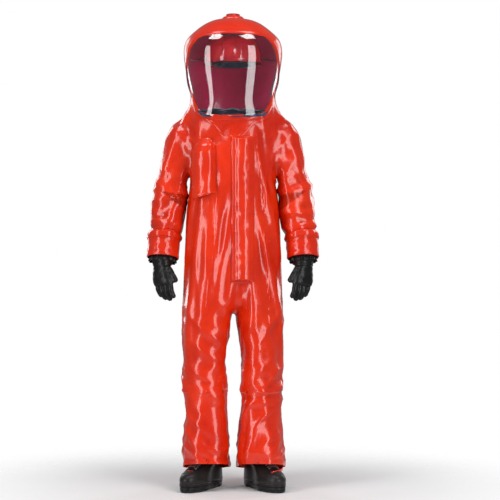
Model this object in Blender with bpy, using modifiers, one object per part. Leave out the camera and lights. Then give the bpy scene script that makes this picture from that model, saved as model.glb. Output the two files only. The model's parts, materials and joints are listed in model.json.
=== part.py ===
"""Air-fed chemical protective suit, standing as it is worn, one named object for each physical piece.

Metres, +Z up. The front faces -Y and the wearer's left is +X. The boot soles stand on z = 0.
Fabric pieces are thin open-ended shells, so the suit is hollow from the hood down to the socks.
"""

import math

import bmesh
import bpy
from mathutils import Matrix, Vector

# ------------------------------------------------------------------ driving dimensions
SIDES = {"right": -1, "left": 1}
FABRIC = 0.002  # wall of every fabric shell
SEAM = 0.0005  # gap between shells that are welded edge to edge
HOOD_SEAM = 0.0009  # gap between the collar and the hood
FIT = 0.0003  # gap between a piece and the seat that carries it
SQUARENESS = 2.4  # power of the superellipse used for body sections
BODY_COLUMNS = 32  # points round the torso and the hood, a multiple of four

LEG_LENGTH = 0.775  # floor to the crotch line
TORSO_LENGTH = 0.695  # crotch line to the collar
HOOD_HEIGHT = 0.405  # collar to the crown
TORSO_WIDTH = 0.426  # at the hips
TORSO_DEPTH = 0.316  # at the hips
HOOD_WIDTH = 0.390
HOOD_DEPTH = 0.400
KNEE_HEIGHT = 0.395  # where the overflap is welded on
LEG_WIDTH = 0.188
LEG_DEPTH = 0.240
LEG_CENTRE = 0.113
HEM_FRONT = 0.102
HEM_BACK = 0.054
OVERFLAP_LAP = 0.016

SLEEVE_WIDTH = 0.132
SLEEVE_DEPTH = 0.158
ARM_CLEARANCE = 0.008  # between sleeve and flank
ARMHOLE_GAP = 0.0012  # between the shoulder gusset and the hole it passes through, whose facets differ
SHOULDER_DROP = 0.075  # collar down to the shoulder pivot
ARMHOLE_DROP = 0.205  # collar down to the end of the shoulder gusset
ELBOW_DROP = 0.365  # collar down to the elbow pivot
ELBOW_GUSSET = 0.130
WRIST_DROP = 0.520  # collar down to the glove ring
CUFF_LENGTH = 0.088
STRAP_WIDTH = 0.022
RING_RADIUS = 0.045
RING_HEIGHT = 0.020
GLOVE_WALL = 0.0025
BAND_THICKNESS = 0.002
TURNING_GAP = 0.0007  # between the glove's band and the sleeve it turns in

BOOT_LENGTH = 0.284
BOOT_WIDTH = 0.102
BOOT_HEIGHT = 0.165
BOOT_WALL = 0.003
SOLE_THICKNESS = 0.031
TREAD_START = -0.050  # the first groove ahead of the ankle
TREAD_PITCH = 0.022
TREAD_SIZE = (0.005, 0.010)  # along the foot, and twice the depth
TOE_OUT = math.radians(27)

FLAP_WIDTH = 0.090
FLAP_LENGTH = 0.570
FLAP_FREE_EDGE = -0.005  # the free edge, just past the suit's middle
FLAP_CLEARANCE = 0.002  # between the zip's pull tab and the flap that arches over it
ZIP_LENGTH = 0.520
TAPE_WIDTH = 0.018
TAPE_THICKNESS = 0.0015
TEETH_WIDTH = 0.003
TEETH_HEIGHT = 0.003
TOOTH_PITCH = 0.020
SLIDER_SIZE = (0.014, 0.0075, 0.032)
PULL_SIZE = (0.008, 0.0016, 0.045)
HOOK_WIDTH = 0.016
HOOK_THICKNESS = 0.001

VALVE_RADIUS = 0.028
VALVE_NECK = 0.017
VALVE_HEIGHT = 0.014
VALVE_WALL = 0.0025
VALVE_LIFT = 0.002
CHEST_VALVE_X = -0.108
CHEST_VALVE_DROP = 0.172
CHEST_FLAP_WIDTH = 0.088
CHEST_FLAP_LENGTH = 0.215
CHEST_FLAP_RISE = 0.038

VISOR_HALF_WIDTH = 0.160
VISOR_TAPER = 0.024
VISOR_HALF_HEIGHT = 0.150
VISOR_ABOVE_COLLAR = 0.186  # collar up to the middle of the visor
VISOR_BAND = 0.010
VISOR_DEPTH_BACK = -0.020  # how far round the sides the visor reaches

HELMET_WIDTH = 0.230
HELMET_LENGTH = 0.284
HELMET_HEIGHT = 0.142
HELMET_WALL = 0.0025
HELMET_BRIM = 0.230  # collar up to the brim
BRIM_WIDTH = 0.010
PEAK_LENGTH = 0.034
HEAD_WIDTH = 0.166
HEAD_LENGTH = 0.204
HEADBAND_HEIGHT = 0.030
WEBBING_WIDTH = 0.025
WEBBING_THICKNESS = 0.002

COLLAR = LEG_LENGTH + TORSO_LENGTH
CROWN = COLLAR + HOOD_HEIGHT

# Shares of length, half width and half depth, from the crotch line up to the collar.
TORSO_PROFILE = (
    (0.000, 0.995, 1.000),
    (0.122, 1.000, 0.992),
    (0.252, 0.972, 0.984),
    (0.396, 0.930, 0.975),
    (0.540, 0.864, 0.966),
    (0.683, 0.812, 0.957),
    (0.799, 0.827, 0.949),
    (0.899, 0.869, 0.924),
    (0.957, 0.884, 0.880),
    (1.000, 0.862, 0.848),
)
# The same, from the collar up to the crown.
HOOD_PROFILE = (
    (0.000, 0.941, 0.670),
    (0.060, 0.890, 0.700),
    (0.140, 0.835, 0.765),
    (0.272, 0.877, 0.880),
    (0.445, 0.959, 0.970),
    (0.617, 1.000, 1.000),
    (0.716, 0.964, 0.970),
    (0.790, 0.882, 0.895),
    (0.877, 0.733, 0.750),
    (0.951, 0.564, 0.580),
    (0.988, 0.333, 0.350),
    (1.000, 0.154, 0.160),
)
# Share of the way down from the crotch line to the knee seam, then half width and half depth.
LEG_PROFILE = (
    (0.20, 1.106, 1.120),
    (0.43, 0.968, 0.960),
    (0.62, 0.957, 0.900),
    (0.80, 0.830, 0.817),
    (1.00, 0.851, 0.817),
)
# Share of the way down from the knee seam to the floor.
OVERFLAP_PROFILE = ((-0.04, 0.0), (0.0, 0.0), (0.30, 0.40), (0.50, 0.75), (0.68, 0.95), (0.95, 1.0))
# Height share of the upper, half length share, half width share and forward shift of the middle.
BOOT_PROFILE = (
    (0.00, 0.985, 0.94, -0.035),
    (0.14, 1.000, 0.98, -0.035),
    (0.27, 0.944, 0.94, -0.028),
    (0.40, 0.789, 0.88, -0.008),
    (0.52, 0.634, 0.84, 0.012),
    (0.72, 0.493, 0.84, 0.030),
    (1.00, 0.437, 0.86, 0.036),
)

# ------------------------------------------------------------------ scene and materials
for old in list(bpy.data.objects):
    bpy.data.objects.remove(old)
suit = bpy.data.collections.new("chemical_protective_suit")
helpers = bpy.data.collections.new("cutters")
for collection in (suit, helpers):
    bpy.context.scene.collection.children.link(collection)


def material(name, colour, roughness, metallic=0.0):
    made = bpy.data.materials.new(name)
    made.use_nodes = True
    shader = made.node_tree.nodes["Principled BSDF"]
    shader.inputs["Base Color"].default_value = (*colour, 1)
    shader.inputs["Roughness"].default_value = roughness
    shader.inputs["Metallic"].default_value = metallic
    return made


LAMINATE = material("orange_laminate", (0.80, 0.045, 0.012), 0.25)
CLEAR = material("clear_visor", (0.85, 0.88, 0.90), 0.05)
NAVY = material("navy_webbing", (0.012, 0.020, 0.060), 0.80)
RUBBER = material("black_rubber", (0.010, 0.010, 0.011), 0.45)
LEATHER = material("boot_leather", (0.016, 0.016, 0.020), 0.40)
LACE = material("boot_lace", (0.120, 0.030, 0.020), 0.80)
PLASTIC = material("black_plastic", (0.020, 0.020, 0.022), 0.40)
VALVE = material("red_plastic", (0.600, 0.030, 0.015), 0.35)
HELMET = material("helmet_red", (0.560, 0.008, 0.010), 0.15)
STEEL = material("steel", (0.550, 0.550, 0.560), 0.30, 1.0)


# ------------------------------------------------------------------ building blocks
def finish(name, mesh, paint, smooth=40):
    mesh.materials.append(paint)
    mesh.shade_smooth()
    mesh.set_sharp_from_angle(angle=math.radians(smooth))
    made = bpy.data.objects.new(name, mesh)
    suit.objects.link(made)
    return made


def as_helper(obj):
    """Turns an object into a cutter, which stays out of the finished suit."""
    suit.objects.unlink(obj)
    helpers.objects.link(obj)
    obj.hide_render = True
    obj.display_type = "WIRE"
    return obj


def faced_outward(bm):
    """Turns every face round if the surface as a whole faces inward."""
    middle = sum((v.co for v in bm.verts), Vector()) / len(bm.verts)
    flow = sum((f.calc_center_median() - middle).dot(f.normal) * f.calc_area() for f in bm.faces)
    if flow < 0:
        bmesh.ops.reverse_faces(bm, faces=bm.faces)


def loft(name, rings, paint, caps=(False, False), wrap=True, smooth=40):
    """A surface through rings of equal point counts, with flat caps on the ends that are asked for."""
    bm = bmesh.new()
    loops = [[bm.verts.new(p) for p in ring] for ring in rings]
    count = len(loops[0])
    for low, high in zip(loops, loops[1:]):
        for k in range(count if wrap else count - 1):
            after = (k + 1) % count
            bm.faces.new((low[k], low[after], high[after]))
            bm.faces.new((low[k], high[after], high[k]))
    if caps[0]:
        bm.faces.new(reversed(loops[0]))
    if caps[1]:
        bm.faces.new(loops[-1])
    bm.normal_update()
    faced_outward(bm)
    mesh = bpy.data.meshes.new(name)
    bm.to_mesh(mesh)
    bm.free()
    return finish(name, mesh, paint, smooth)


def inset_ring(ring, amount):
    """The ring moved inward in its own plane, with mitred corners."""
    middle = sum(ring, Vector()) / len(ring)
    normal = (ring[0] - middle).cross(ring[len(ring) // 4] - middle).normalized()
    moved = []
    for k, point in enumerate(ring):
        before = (point - ring[k - 1]).normalized()
        after = (ring[(k + 1) % len(ring)] - point).normalized()
        inward = normal.cross(before + after).normalized()
        mitre = max(normal.cross(before).dot(inward), 0.5)
        moved.append(point + inward * (amount / mitre))
    return moved


def shortened(rings, first=0.0, last=0.0):
    """The same rings with the end ones moved in along the tube, to leave a seam gap."""
    middles = [sum(ring, Vector()) / len(ring) for ring in rings]
    start = (middles[1] - middles[0]).normalized() * first
    end = (middles[-2] - middles[-1]).normalized() * last
    return [[p + start for p in rings[0]], *rings[1:-1], [p + end for p in rings[-1]]]


def shell(name, rings, paint, thickness=FABRIC, capped=None, smooth=40):
    """A tube with a wall inside its rings and flat rims. One end, first or last, can be capped."""
    inner = [inset_ring(ring, thickness) for ring in rings]
    if capped:
        inner = shortened(inner, *((thickness, 0) if capped == "first" else (0, thickness)))
    bm = bmesh.new()
    outside, inside = ([[bm.verts.new(p) for p in ring] for ring in side] for side in (rings, inner))
    count = len(outside[0])

    def band(low, high, flip=False):
        for k in range(count):
            after = (k + 1) % count
            for corners in ((low[k], low[after], high[after]), (low[k], high[after], high[k])):
                bm.faces.new(reversed(corners) if flip else corners)

    for low, high in zip(outside, outside[1:]):
        band(low, high)
    for low, high in zip(inside, inside[1:]):
        band(low, high, flip=True)
    if capped == "first":
        bm.faces.new(reversed(outside[0]))
        bm.faces.new(inside[0])
    else:
        band(inside[0], outside[0])
    if capped == "last":
        bm.faces.new(outside[-1])
        bm.faces.new(reversed(inside[-1]))
    else:
        band(outside[-1], inside[-1])
    bm.normal_update()
    if bm.calc_volume(signed=True) < 0:
        bmesh.ops.reverse_faces(bm, faces=bm.faces)
    mesh = bpy.data.meshes.new(name)
    bm.to_mesh(mesh)
    bm.free()
    return finish(name, mesh, paint, smooth)


def walled(obj, thickness=FABRIC, offset=-1.0):
    """Gives an open surface its wall: inward at offset -1, outward at +1."""
    wall = obj.modifiers.new("wall", "SOLIDIFY")
    wall.thickness = thickness
    wall.offset = offset
    wall.use_even_offset = True
    return obj


def boolean(obj, other, operation="DIFFERENCE"):
    cut = obj.modifiers.new(operation.lower(), "BOOLEAN")
    cut.operation = operation
    cut.solver = "EXACT"
    cut.object = other
    return obj


def joined(obj, *others):
    """Joins other solids to this one, so that they are one body."""
    for other in others:
        boolean(obj, as_helper(other), "UNION")
    return obj


def superellipse(angle, half_width, half_depth, power=SQUARENESS):
    c, s = math.cos(angle), math.sin(angle)
    x = half_width * math.copysign(abs(c) ** (2 / power), c)
    return x, half_depth * math.copysign(abs(s) ** (2 / power), s)


def level_ring(z, half_width, half_depth, centre=(0, 0), count=BODY_COLUMNS, power=SQUARENESS):
    """A horizontal superellipse."""
    angles = (math.tau * k / count for k in range(count))
    points = (superellipse(a, half_width, half_depth, power) for a in angles)
    return [Vector((centre[0] + x, centre[1] + y, z)) for x, y in points]


def ring_across(centre, along, half_width, half_depth, count=24):
    """An ellipse square to a path. Its depth runs as near to Y as the path allows."""
    along = along.normalized()
    depth = (Vector((0, 1, 0)) - along * along.y).normalized()
    width = depth.cross(along)
    angles = (math.tau * k / count for k in range(count))
    return [centre + width * half_width * math.cos(a) + depth * half_depth * math.sin(a) for a in angles]


def box(name, size, centre, paint, rotation=None):
    bm = bmesh.new()
    bmesh.ops.create_cube(bm, size=1)
    bmesh.ops.scale(bm, vec=size, verts=bm.verts)
    if rotation:
        bmesh.ops.transform(bm, matrix=rotation, verts=bm.verts)
    bmesh.ops.translate(bm, vec=centre, verts=bm.verts)
    mesh = bpy.data.meshes.new(name)
    bm.to_mesh(mesh)
    bm.free()
    return finish(name, mesh, paint)


def cylinder(name, radius, low, high, paint, count=24):
    bm = bmesh.new()
    bmesh.ops.create_cone(bm, cap_ends=True, segments=count, radius1=radius, radius2=radius, depth=high - low)
    bmesh.ops.translate(bm, vec=(0, 0, (low + high) / 2), verts=bm.verts)
    mesh = bpy.data.meshes.new(name)
    bm.to_mesh(mesh)
    bm.free()
    return finish(name, mesh, paint)


def turned(name, profile, paint, steps=16):
    """A closed profile of (radius, height) points turned about Z. The outer side runs from top to bottom."""
    bm = bmesh.new()
    verts = [bm.verts.new((r, 0, z)) for r, z in profile]
    for k, vert in enumerate(verts):
        bm.edges.new((vert, verts[(k + 1) % len(verts)]))
    mesh = bpy.data.meshes.new(name)
    bm.to_mesh(mesh)
    bm.free()
    made = finish(name, mesh, paint)
    spin = made.modifiers.new("turn", "SCREW")
    spin.steps = spin.render_steps = steps
    spin.use_merge_vertices = True
    spin.merge_threshold = 0.00001
    return made


def tube(name, points, radius, paint):
    """A round bar along a list of points."""
    curve = bpy.data.curves.new(name, "CURVE")
    curve.dimensions = "3D"
    curve.bevel_depth = radius
    curve.bevel_resolution = 2
    curve.use_fill_caps = True
    spline = curve.splines.new("POLY")
    spline.points.add(len(points) - 1)
    for slot, point in zip(spline.points, points):
        slot.co = (*point, 1)
    curve.materials.append(paint)
    made = bpy.data.objects.new(name, curve)
    suit.objects.link(made)
    return made


def pivot(name, location, rotation=None):
    """An empty on a joint's axis."""
    made = bpy.data.objects.new(name, None)
    made.matrix_world = Matrix.Translation(location) @ (rotation or Matrix())
    suit.objects.link(made)
    return made


def carry(parent, *children, keep=True):
    """Parents pieces to a pivot. With keep, they stay where they were modelled."""
    bpy.context.view_layer.update()
    for child in children:
        child.parent = parent
        if keep:
            child.matrix_parent_inverse = parent.matrix_world.inverted()


# ------------------------------------------------------------------ body sections
def profile_at(profile, share):
    """Half width and half depth shares at a share of the length, straight between the profile's rows."""
    share = min(max(share, profile[0][0]), profile[-1][0])
    for low, high in zip(profile, profile[1:]):
        if share <= high[0]:
            t = (share - low[0]) / (high[0] - low[0])
            return tuple(a + (b - a) * t for a, b in zip(low[1:], high[1:]))
    return profile[-1][1:]


def torso_half(z):
    width, depth = profile_at(TORSO_PROFILE, (z - LEG_LENGTH) / TORSO_LENGTH)
    return width * TORSO_WIDTH / 2, depth * TORSO_DEPTH / 2


def torso_front(x, z):
    """Y of the torso's front surface, which is flat between one column of points and the next."""
    width, depth = torso_half(z)
    corners = [superellipse(math.tau * k / BODY_COLUMNS, width, depth) for k in range(BODY_COLUMNS // 4 + 1)]
    for (outer_x, outer_y), (inner_x, inner_y) in zip(corners, corners[1:]):
        if abs(x) >= inner_x:
            share = (outer_x - abs(x)) / (outer_x - inner_x)
            return -(outer_y + (inner_y - outer_y) * share)
    return -depth


def hood_half(z):
    width, depth = profile_at(HOOD_PROFILE, (z - COLLAR) / HOOD_HEIGHT)
    return width * HOOD_WIDTH / 2, depth * HOOD_DEPTH / 2


def torso_rings():
    rows = ((LEG_LENGTH + s * TORSO_LENGTH, w * TORSO_WIDTH / 2, d * TORSO_DEPTH / 2) for s, w, d in TORSO_PROFILE)
    return [level_ring(*row) for row in rows]


def hood_rings(swell=0.0, lift=0.0):
    """The hood's outer surface, or one that lies that far outside it."""
    return [
        level_ring(COLLAR + lift + s * HOOD_HEIGHT, w * HOOD_WIDTH / 2 + swell, d * HOOD_DEPTH / 2 + swell)
        for s, w, d in HOOD_PROFILE
    ]


# ------------------------------------------------------------------ arms
SHOULDER_Z = COLLAR - SHOULDER_DROP
ARMHOLE_Z = COLLAR - ARMHOLE_DROP
ELBOW_Z = COLLAR - ELBOW_DROP
WRIST_Z = COLLAR - WRIST_DROP
SHOULDER_X = torso_half(SHOULDER_Z)[0] + 0.005
ELBOW_BACK = 0.016
WRIST_FORWARD = -0.018
SLEEVE_END_RADIUS = RING_RADIUS + FIT + GLOVE_WALL + FIT + BAND_THICKNESS + TURNING_GAP + FABRIC


def sleeve_x(z, half_width):
    """The sleeve hangs clear of the flank."""
    return torso_half(z)[0] + ARM_CLEARANCE + half_width


def arm_point(side, x, y, z):
    return Vector((side * x, y, z))


def arm_path(side):
    """Stations down one arm: name, centre, half width and half depth of the sleeve."""
    half, deep = SLEEVE_WIDTH / 2, SLEEVE_DEPTH / 2
    shoulder_drop = SHOULDER_Z - ARMHOLE_Z
    upper_end, lower_start = ELBOW_Z + ELBOW_GUSSET / 2, ELBOW_Z - ELBOW_GUSSET / 2
    upper_middle = (ARMHOLE_Z + upper_end) / 2
    wrist_x = sleeve_x(WRIST_Z, half * 0.95)
    rows = [
        ("in", SHOULDER_X - 0.040, 0.004, SHOULDER_Z - 0.020, half * 1.30, deep * 1.08),
        ("armhole", SHOULDER_X - 0.006, 0.005, SHOULDER_Z - 0.020, half * 1.45, deep * 1.15),
        ("cap", SHOULDER_X + 0.034, 0.006, SHOULDER_Z - shoulder_drop * 0.48, half * 1.18, deep * 1.10),
        ("upper", sleeve_x(ARMHOLE_Z, half), 0.008, ARMHOLE_Z, half, deep * 1.04),
        ("middle", sleeve_x(upper_middle, half), 0.011, upper_middle, half, deep),
        ("above_elbow", sleeve_x(upper_end, half), 0.014, upper_end, half, deep),
        ("elbow", sleeve_x(ELBOW_Z, half), ELBOW_BACK, ELBOW_Z, half * 1.03, deep),
        ("below_elbow", sleeve_x(lower_start, half), 0.010, lower_start, half, deep * 0.98),
        ("forearm", wrist_x - 0.003, -0.004, WRIST_Z + 0.055, half * 0.94, deep * 0.86),
        ("wrist", wrist_x, WRIST_FORWARD, WRIST_Z, SLEEVE_END_RADIUS, SLEEVE_END_RADIUS),
    ]
    return [(name, arm_point(side, x, y, z), w, d) for name, x, y, z, w, d in rows]


def arm_rings(side, first, last, swell=0.0):
    """Rings of the sleeve between two stations, each square to the path there."""
    stations = arm_path(side)
    names = [row[0] for row in stations]
    rings = []
    for k in range(names.index(first), names.index(last) + 1):
        before, after = stations[max(k - 1, 0)][1], stations[min(k + 1, len(stations) - 1)][1]
        _, centre, width, depth = stations[k]
        rings.append(ring_across(centre, after - before, width + swell, depth + swell))
    return rings


def wrist_axis(side):
    """Unit vector down the forearm at the glove ring."""
    stations = {name: centre for name, centre, _, _ in arm_path(side)}
    return (stations["wrist"] - stations["forearm"]).normalized()


def wrist_frame(side):
    """Places a piece modelled about its own Z axis, fingers down, on the end of the sleeve."""
    stations = {name: centre for name, centre, _, _ in arm_path(side)}
    up = -wrist_axis(side)
    depth = (Vector((0, 1, 0)) - up * up.y).normalized()
    width = depth.cross(up)
    turn = Matrix((width, depth, up)).transposed().to_4x4()
    return stations["wrist"], turn


def hand_rings():
    """The glove's gauntlet, wrist and palm, down its own Z axis, then the fingers start."""
    grip = RING_RADIUS + FIT + GLOVE_WALL
    rows = (
        (0.006, 0.000, grip, grip),
        (-0.030, 0.000, grip, grip),
        (-0.050, 0.000, grip * 0.94, grip * 0.96),
        (-0.074, 0.000, 0.033, 0.038),
        (-0.100, -0.002, 0.031, 0.043),
        (-0.128, -0.006, 0.028, 0.046),
        (-0.148, -0.010, 0.022, 0.043),
    )
    return [level_ring(z, w, d, (0, y), 24, 2.0) for z, y, w, d in rows]


def finger_rings(root, lean, curl, length, radius):
    """A finger of three bones that bends more at each joint, towards the palm on the -X side."""
    rings, point, angle = [], Vector(root), lean
    bones = 4
    for k in range(bones + 1):
        size = radius * (1.0 - 0.08 * k) * (0.55 if k == bones else 1.0)
        along = Vector((-math.sin(angle), 0, -math.cos(angle)))
        rings.append(ring_across(point, along, size, size, 8))
        point = point + along * length / bones
        angle += curl / bones
    return rings


# ------------------------------------------------------------------ fabric shells
def make_torso():
    torso = shell("torso_shell", torso_rings(), LAMINATE)
    for name, side in SIDES.items():
        rings = arm_rings(side, "in", "upper", swell=ARMHOLE_GAP)
        hole = loft("armhole_cutter_" + name, rings, LAMINATE, (True, True))
        boolean(torso, as_helper(hole))
    place = chest_valve_frame()
    hole = cylinder("chest_valve_cutter", VALVE_NECK + FIT, -0.02, 0.02, LAMINATE)
    hole.matrix_world = place
    boolean(torso, as_helper(hole))
    return torso


def visor_outline(grow, y, count=40):
    """The window as a rounded shape, wider at its top, in a plane of constant y."""
    middle = COLLAR + VISOR_ABOVE_COLLAR
    points = []
    for k in range(count):
        c, s = superellipse(math.tau * k / count, 1, 1, 3.4)
        width = VISOR_HALF_WIDTH + VISOR_TAPER * s + grow
        points.append(Vector((c * width, y, middle + s * (VISOR_HALF_HEIGHT + grow))))
    return points


def visor_cutter(name, grow):
    front, back = -HOOD_DEPTH, VISOR_DEPTH_BACK
    return as_helper(loft(name, [visor_outline(grow, front), visor_outline(grow, back)], CLEAR, (True, True)))


def make_hood():
    hood = walled(loft("hood_shell", hood_rings(lift=HOOD_SEAM), LAMINATE, (False, True)))
    boolean(hood, visor_cutter("visor_hole_cutter", 0.0))
    neck = cylinder("crown_valve_cutter", VALVE_NECK + FIT, CROWN - 0.02, CROWN + 0.02, LAMINATE)
    boolean(hood, as_helper(neck))

    pane = walled(loft("visor_pane", hood_rings(lift=HOOD_SEAM), CLEAR, (False, True)), FABRIC)
    boolean(pane, visor_cutter("visor_pane_cutter", -FIT), "INTERSECT")

    frame = visor_cutter("visor_band_outer_cutter", VISOR_BAND)
    inner = visor_cutter("visor_band_inner_cutter", -VISOR_BAND)
    for name, paint, swell, outward in (
        ("visor_weld_strip", LAMINATE, 0.0008, 1.0),
        ("visor_inner_seal", NAVY, -FABRIC - 0.0009, -1.0),
    ):
        band = walled(loft(name, hood_rings(swell, HOOD_SEAM), paint, (False, True)), 0.0012, outward)
        boolean(band, frame, "INTERSECT")
        boolean(band, inner)


def leg_rings(side):
    """From the half of the torso's section that this leg takes, down to the knee seam."""
    count = 24
    width, depth = torso_half(LEG_LENGTH)
    top = []
    for k in range(count):
        x, y = superellipse(math.tau * k / count + math.tau / count / 2, width, depth)
        inner = SEAM / 2
        top.append(Vector((side * max(x, inner), y if x > inner else y * 0.93, LEG_LENGTH - SEAM)))
    rings = [top]
    fall = LEG_LENGTH - KNEE_HEIGHT
    for share, w, d in LEG_PROFILE:
        size = (w * LEG_WIDTH / 2, d * LEG_DEPTH / 2)
        ring = level_ring(LEG_LENGTH - share * fall, *size, (LEG_CENTRE, 0), count, 2.2)
        turn = math.tau / count / 2
        middle = Vector((LEG_CENTRE, 0, 0))
        ring = [Matrix.Rotation(turn, 3, "Z") @ (p - middle) + middle for p in ring]
        rings.append([Vector((side * p.x, p.y, p.z)) for p in ring])
    return rings


def knee_half():
    return LEG_PROFILE[-1][1] * LEG_WIDTH / 2, LEG_PROFILE[-1][2] * LEG_DEPTH / 2


def knee_ring(side, z, swell=0.0, widen=0.0):
    """The leg's section at the knee seam, let out by widen towards the full leg."""
    width, depth = knee_half()
    width += (LEG_WIDTH / 2 - width) * widen + swell
    depth += (LEG_DEPTH / 2 - depth) * widen + swell
    ring = level_ring(z, width, depth, (0, 0), 24, 2.2)
    turn = Matrix.Rotation(math.tau / 24 / 2, 3, "Z")
    return [Vector((side * (LEG_CENTRE + (turn @ p).x), (turn @ p).y, z)) for p in ring]


def make_leg(name, side):
    shell(name + "_leg_shell", leg_rings(side), LAMINATE)
    swell = FABRIC + SEAM
    rings = [knee_ring(side, KNEE_HEIGHT * (1 - down), swell, widen) for down, widen in OVERFLAP_PROFILE]
    rings[0] = knee_ring(side, KNEE_HEIGHT + OVERFLAP_LAP, swell)
    slope = (HEM_FRONT - HEM_BACK) / LEG_DEPTH
    middle = (HEM_FRONT + HEM_BACK) / 2
    rings[-1] = [Vector((p.x, p.y, middle - slope * p.y)) for p in rings[-1]]
    rings[-2] = [Vector((p.x, p.y, p.z + (middle - slope * p.y - HEM_BACK) * 0.5)) for p in rings[-2]]
    shell(name + "_boot_overflap", rings, LAMINATE)
    make_sock(name, side)
    make_boot(name, side)


def foot_ring(side, share, inset):
    """One level of the boot's upper, turned out by the toe angle."""
    rows = BOOT_PROFILE
    for low, high in zip(rows, rows[1:]):
        if share <= high[0]:
            t = (share - low[0]) / (high[0] - low[0])
            length, width, shift = (a + (b - a) * t for a, b in zip(low[1:], high[1:]))
            break
    z = SOLE_THICKNESS + FIT + share * (BOOT_HEIGHT - SOLE_THICKNESS)
    ring = level_ring(z, width * BOOT_WIDTH / 2 - inset, length * BOOT_LENGTH / 2 - inset, (0, shift), 24)
    turn = Matrix.Rotation(TOE_OUT, 3, "Z")
    points = [turn @ p for p in ring]
    return [Vector((side * (LEG_CENTRE + p.x), p.y, p.z)) for p in points]


def make_sock(name, side):
    """The inner leg, welded inside the knee seam, and the sock that fills the boot."""
    close, clear = BOOT_WALL + 2 * SEAM, BOOT_WALL * 2.2 + 2 * SEAM
    lowest = FIT / (BOOT_HEIGHT - SOLE_THICKNESS)
    levels = ((lowest, close), (0.14, close + SEAM), (0.27, clear), (0.40, clear), (0.52, clear), (0.72, clear))
    foot = [foot_ring(side, share, inset) for share, inset in levels]
    foot.append([p + Vector((0, 0, 0.005)) for p in foot_ring(side, 1.0, close + SEAM)])
    inside = -FABRIC - SEAM
    leg = [knee_ring(side, KNEE_HEIGHT - 0.05, inside - 0.012), knee_ring(side, KNEE_HEIGHT, inside)]
    shell(name + "_inner_sock", foot + leg, NAVY, capped="first")


def make_boot(name, side):
    shell(name + "_boot_upper", [foot_ring(side, row[0], 0) for row in BOOT_PROFILE], LEATHER, BOOT_WALL)
    half_length, half_width, shift = BOOT_LENGTH / 2 + 0.002, BOOT_WIDTH / 2 + 0.002, BOOT_PROFILE[0][3]
    levels = ((0, 0.97), (0.004, 1), (SOLE_THICKNESS, 1))
    rings = [level_ring(z, half_width * s, half_length * s, (0, shift), 28) for z, s in levels]
    sole = loft(name + "_boot_sole", rings, RUBBER, (True, True))
    arch = box(name + "_arch_cutter", (BOOT_WIDTH * 1.5, 0.045, 0.020), (0, 0.018, 0), RUBBER)
    boolean(sole, as_helper(arch))
    for k in range(5):
        place = (0, TREAD_START - TREAD_PITCH * k, 0)
        groove = box(f"{name}_tread_cutter_{k}", (BOOT_WIDTH * 1.5, *TREAD_SIZE), place, RUBBER)
        boolean(sole, as_helper(groove))
    ankle = pivot(name + "_ankle", (side * LEG_CENTRE, 0, 0), Matrix.Rotation(side * TOE_OUT, 4, "Z"))
    cutters = [o for o in helpers.objects if o.name.startswith((name + "_arch", name + "_tread"))]
    carry(ankle, sole, *cutters, make_tongue(name), make_laces(name), keep=False)


def instep(y):
    """Height of the boot's ridge at a place along the foot, from the front of each level of the upper."""
    levels = [
        (shift - length * BOOT_LENGTH / 2, SOLE_THICKNESS + FIT + share * (BOOT_HEIGHT - SOLE_THICKNESS))
        for share, length, _, shift in BOOT_PROFILE[2:6]
    ]
    for (y0, z0), (y1, z1) in zip(levels, levels[1:]):
        if y <= y1:
            return z0 + (z1 - z0) * (y - y0) / (y1 - y0)
    return levels[-1][1]


def make_tongue(name):
    half, thick = 0.016, 0.0015
    rings = []
    for k in range(6):
        y = -0.118 + 0.078 * k / 5
        z = instep(y) + 0.0012
        corners = ((-half, z), (half, z), (half, z + thick), (-half, z + thick))
        rings.append([Vector((cx, y, cz)) for cx, cz in corners])
    return loft(name + "_boot_tongue", rings, LEATHER, (True, True))


def make_laces(name):
    half, radius = 0.017, 0.0016
    points = []
    for k in range(11):
        y = -0.114 + 0.0062 * k
        x = half * (1 if k % 2 else -1)
        points.append(Vector((x, y, instep(y) + 0.0012 + 0.0015 + radius + 0.0013)))
    return tube(name + "_boot_laces", points, radius, LACE)


# ------------------------------------------------------------------ sleeves and gloves
def make_arm(name, side):
    pieces = (
        ("_shoulder_gusset", "in", "upper"),
        ("_upper_sleeve", "upper", "above_elbow"),
        ("_elbow_gusset", "above_elbow", "below_elbow"),
        ("_forearm_sleeve", "below_elbow", "wrist"),
    )
    made = []
    for suffix, first, last in pieces:
        rings = shortened(arm_rings(side, first, last), SEAM / 2, SEAM / 2)
        made.append(shell(name + suffix, rings, LAMINATE))
    _, upper, _, lower = made
    shoulder = pivot(name + "_shoulder", (side * SHOULDER_X, 0.005, SHOULDER_Z))
    stations = {row[0]: row[1] for row in arm_path(side)}
    bend = pivot(name + "_elbow", stations["elbow"])
    carry(shoulder, upper, bend)
    carry(bend, lower, *make_cuff(name, side))
    make_glove(name, side, bend)


def cuff_half(side, down):
    """Centre, half width and half depth of the forearm sleeve, a share of the way down to the wrist."""
    rows = {row[0]: row[1:] for row in arm_path(side)}
    (top, width, depth), (end, end_width, end_depth) = rows["forearm"], rows["wrist"]
    return top.lerp(end, down), width + (end_width - width) * down, depth + (end_depth - depth) * down


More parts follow.
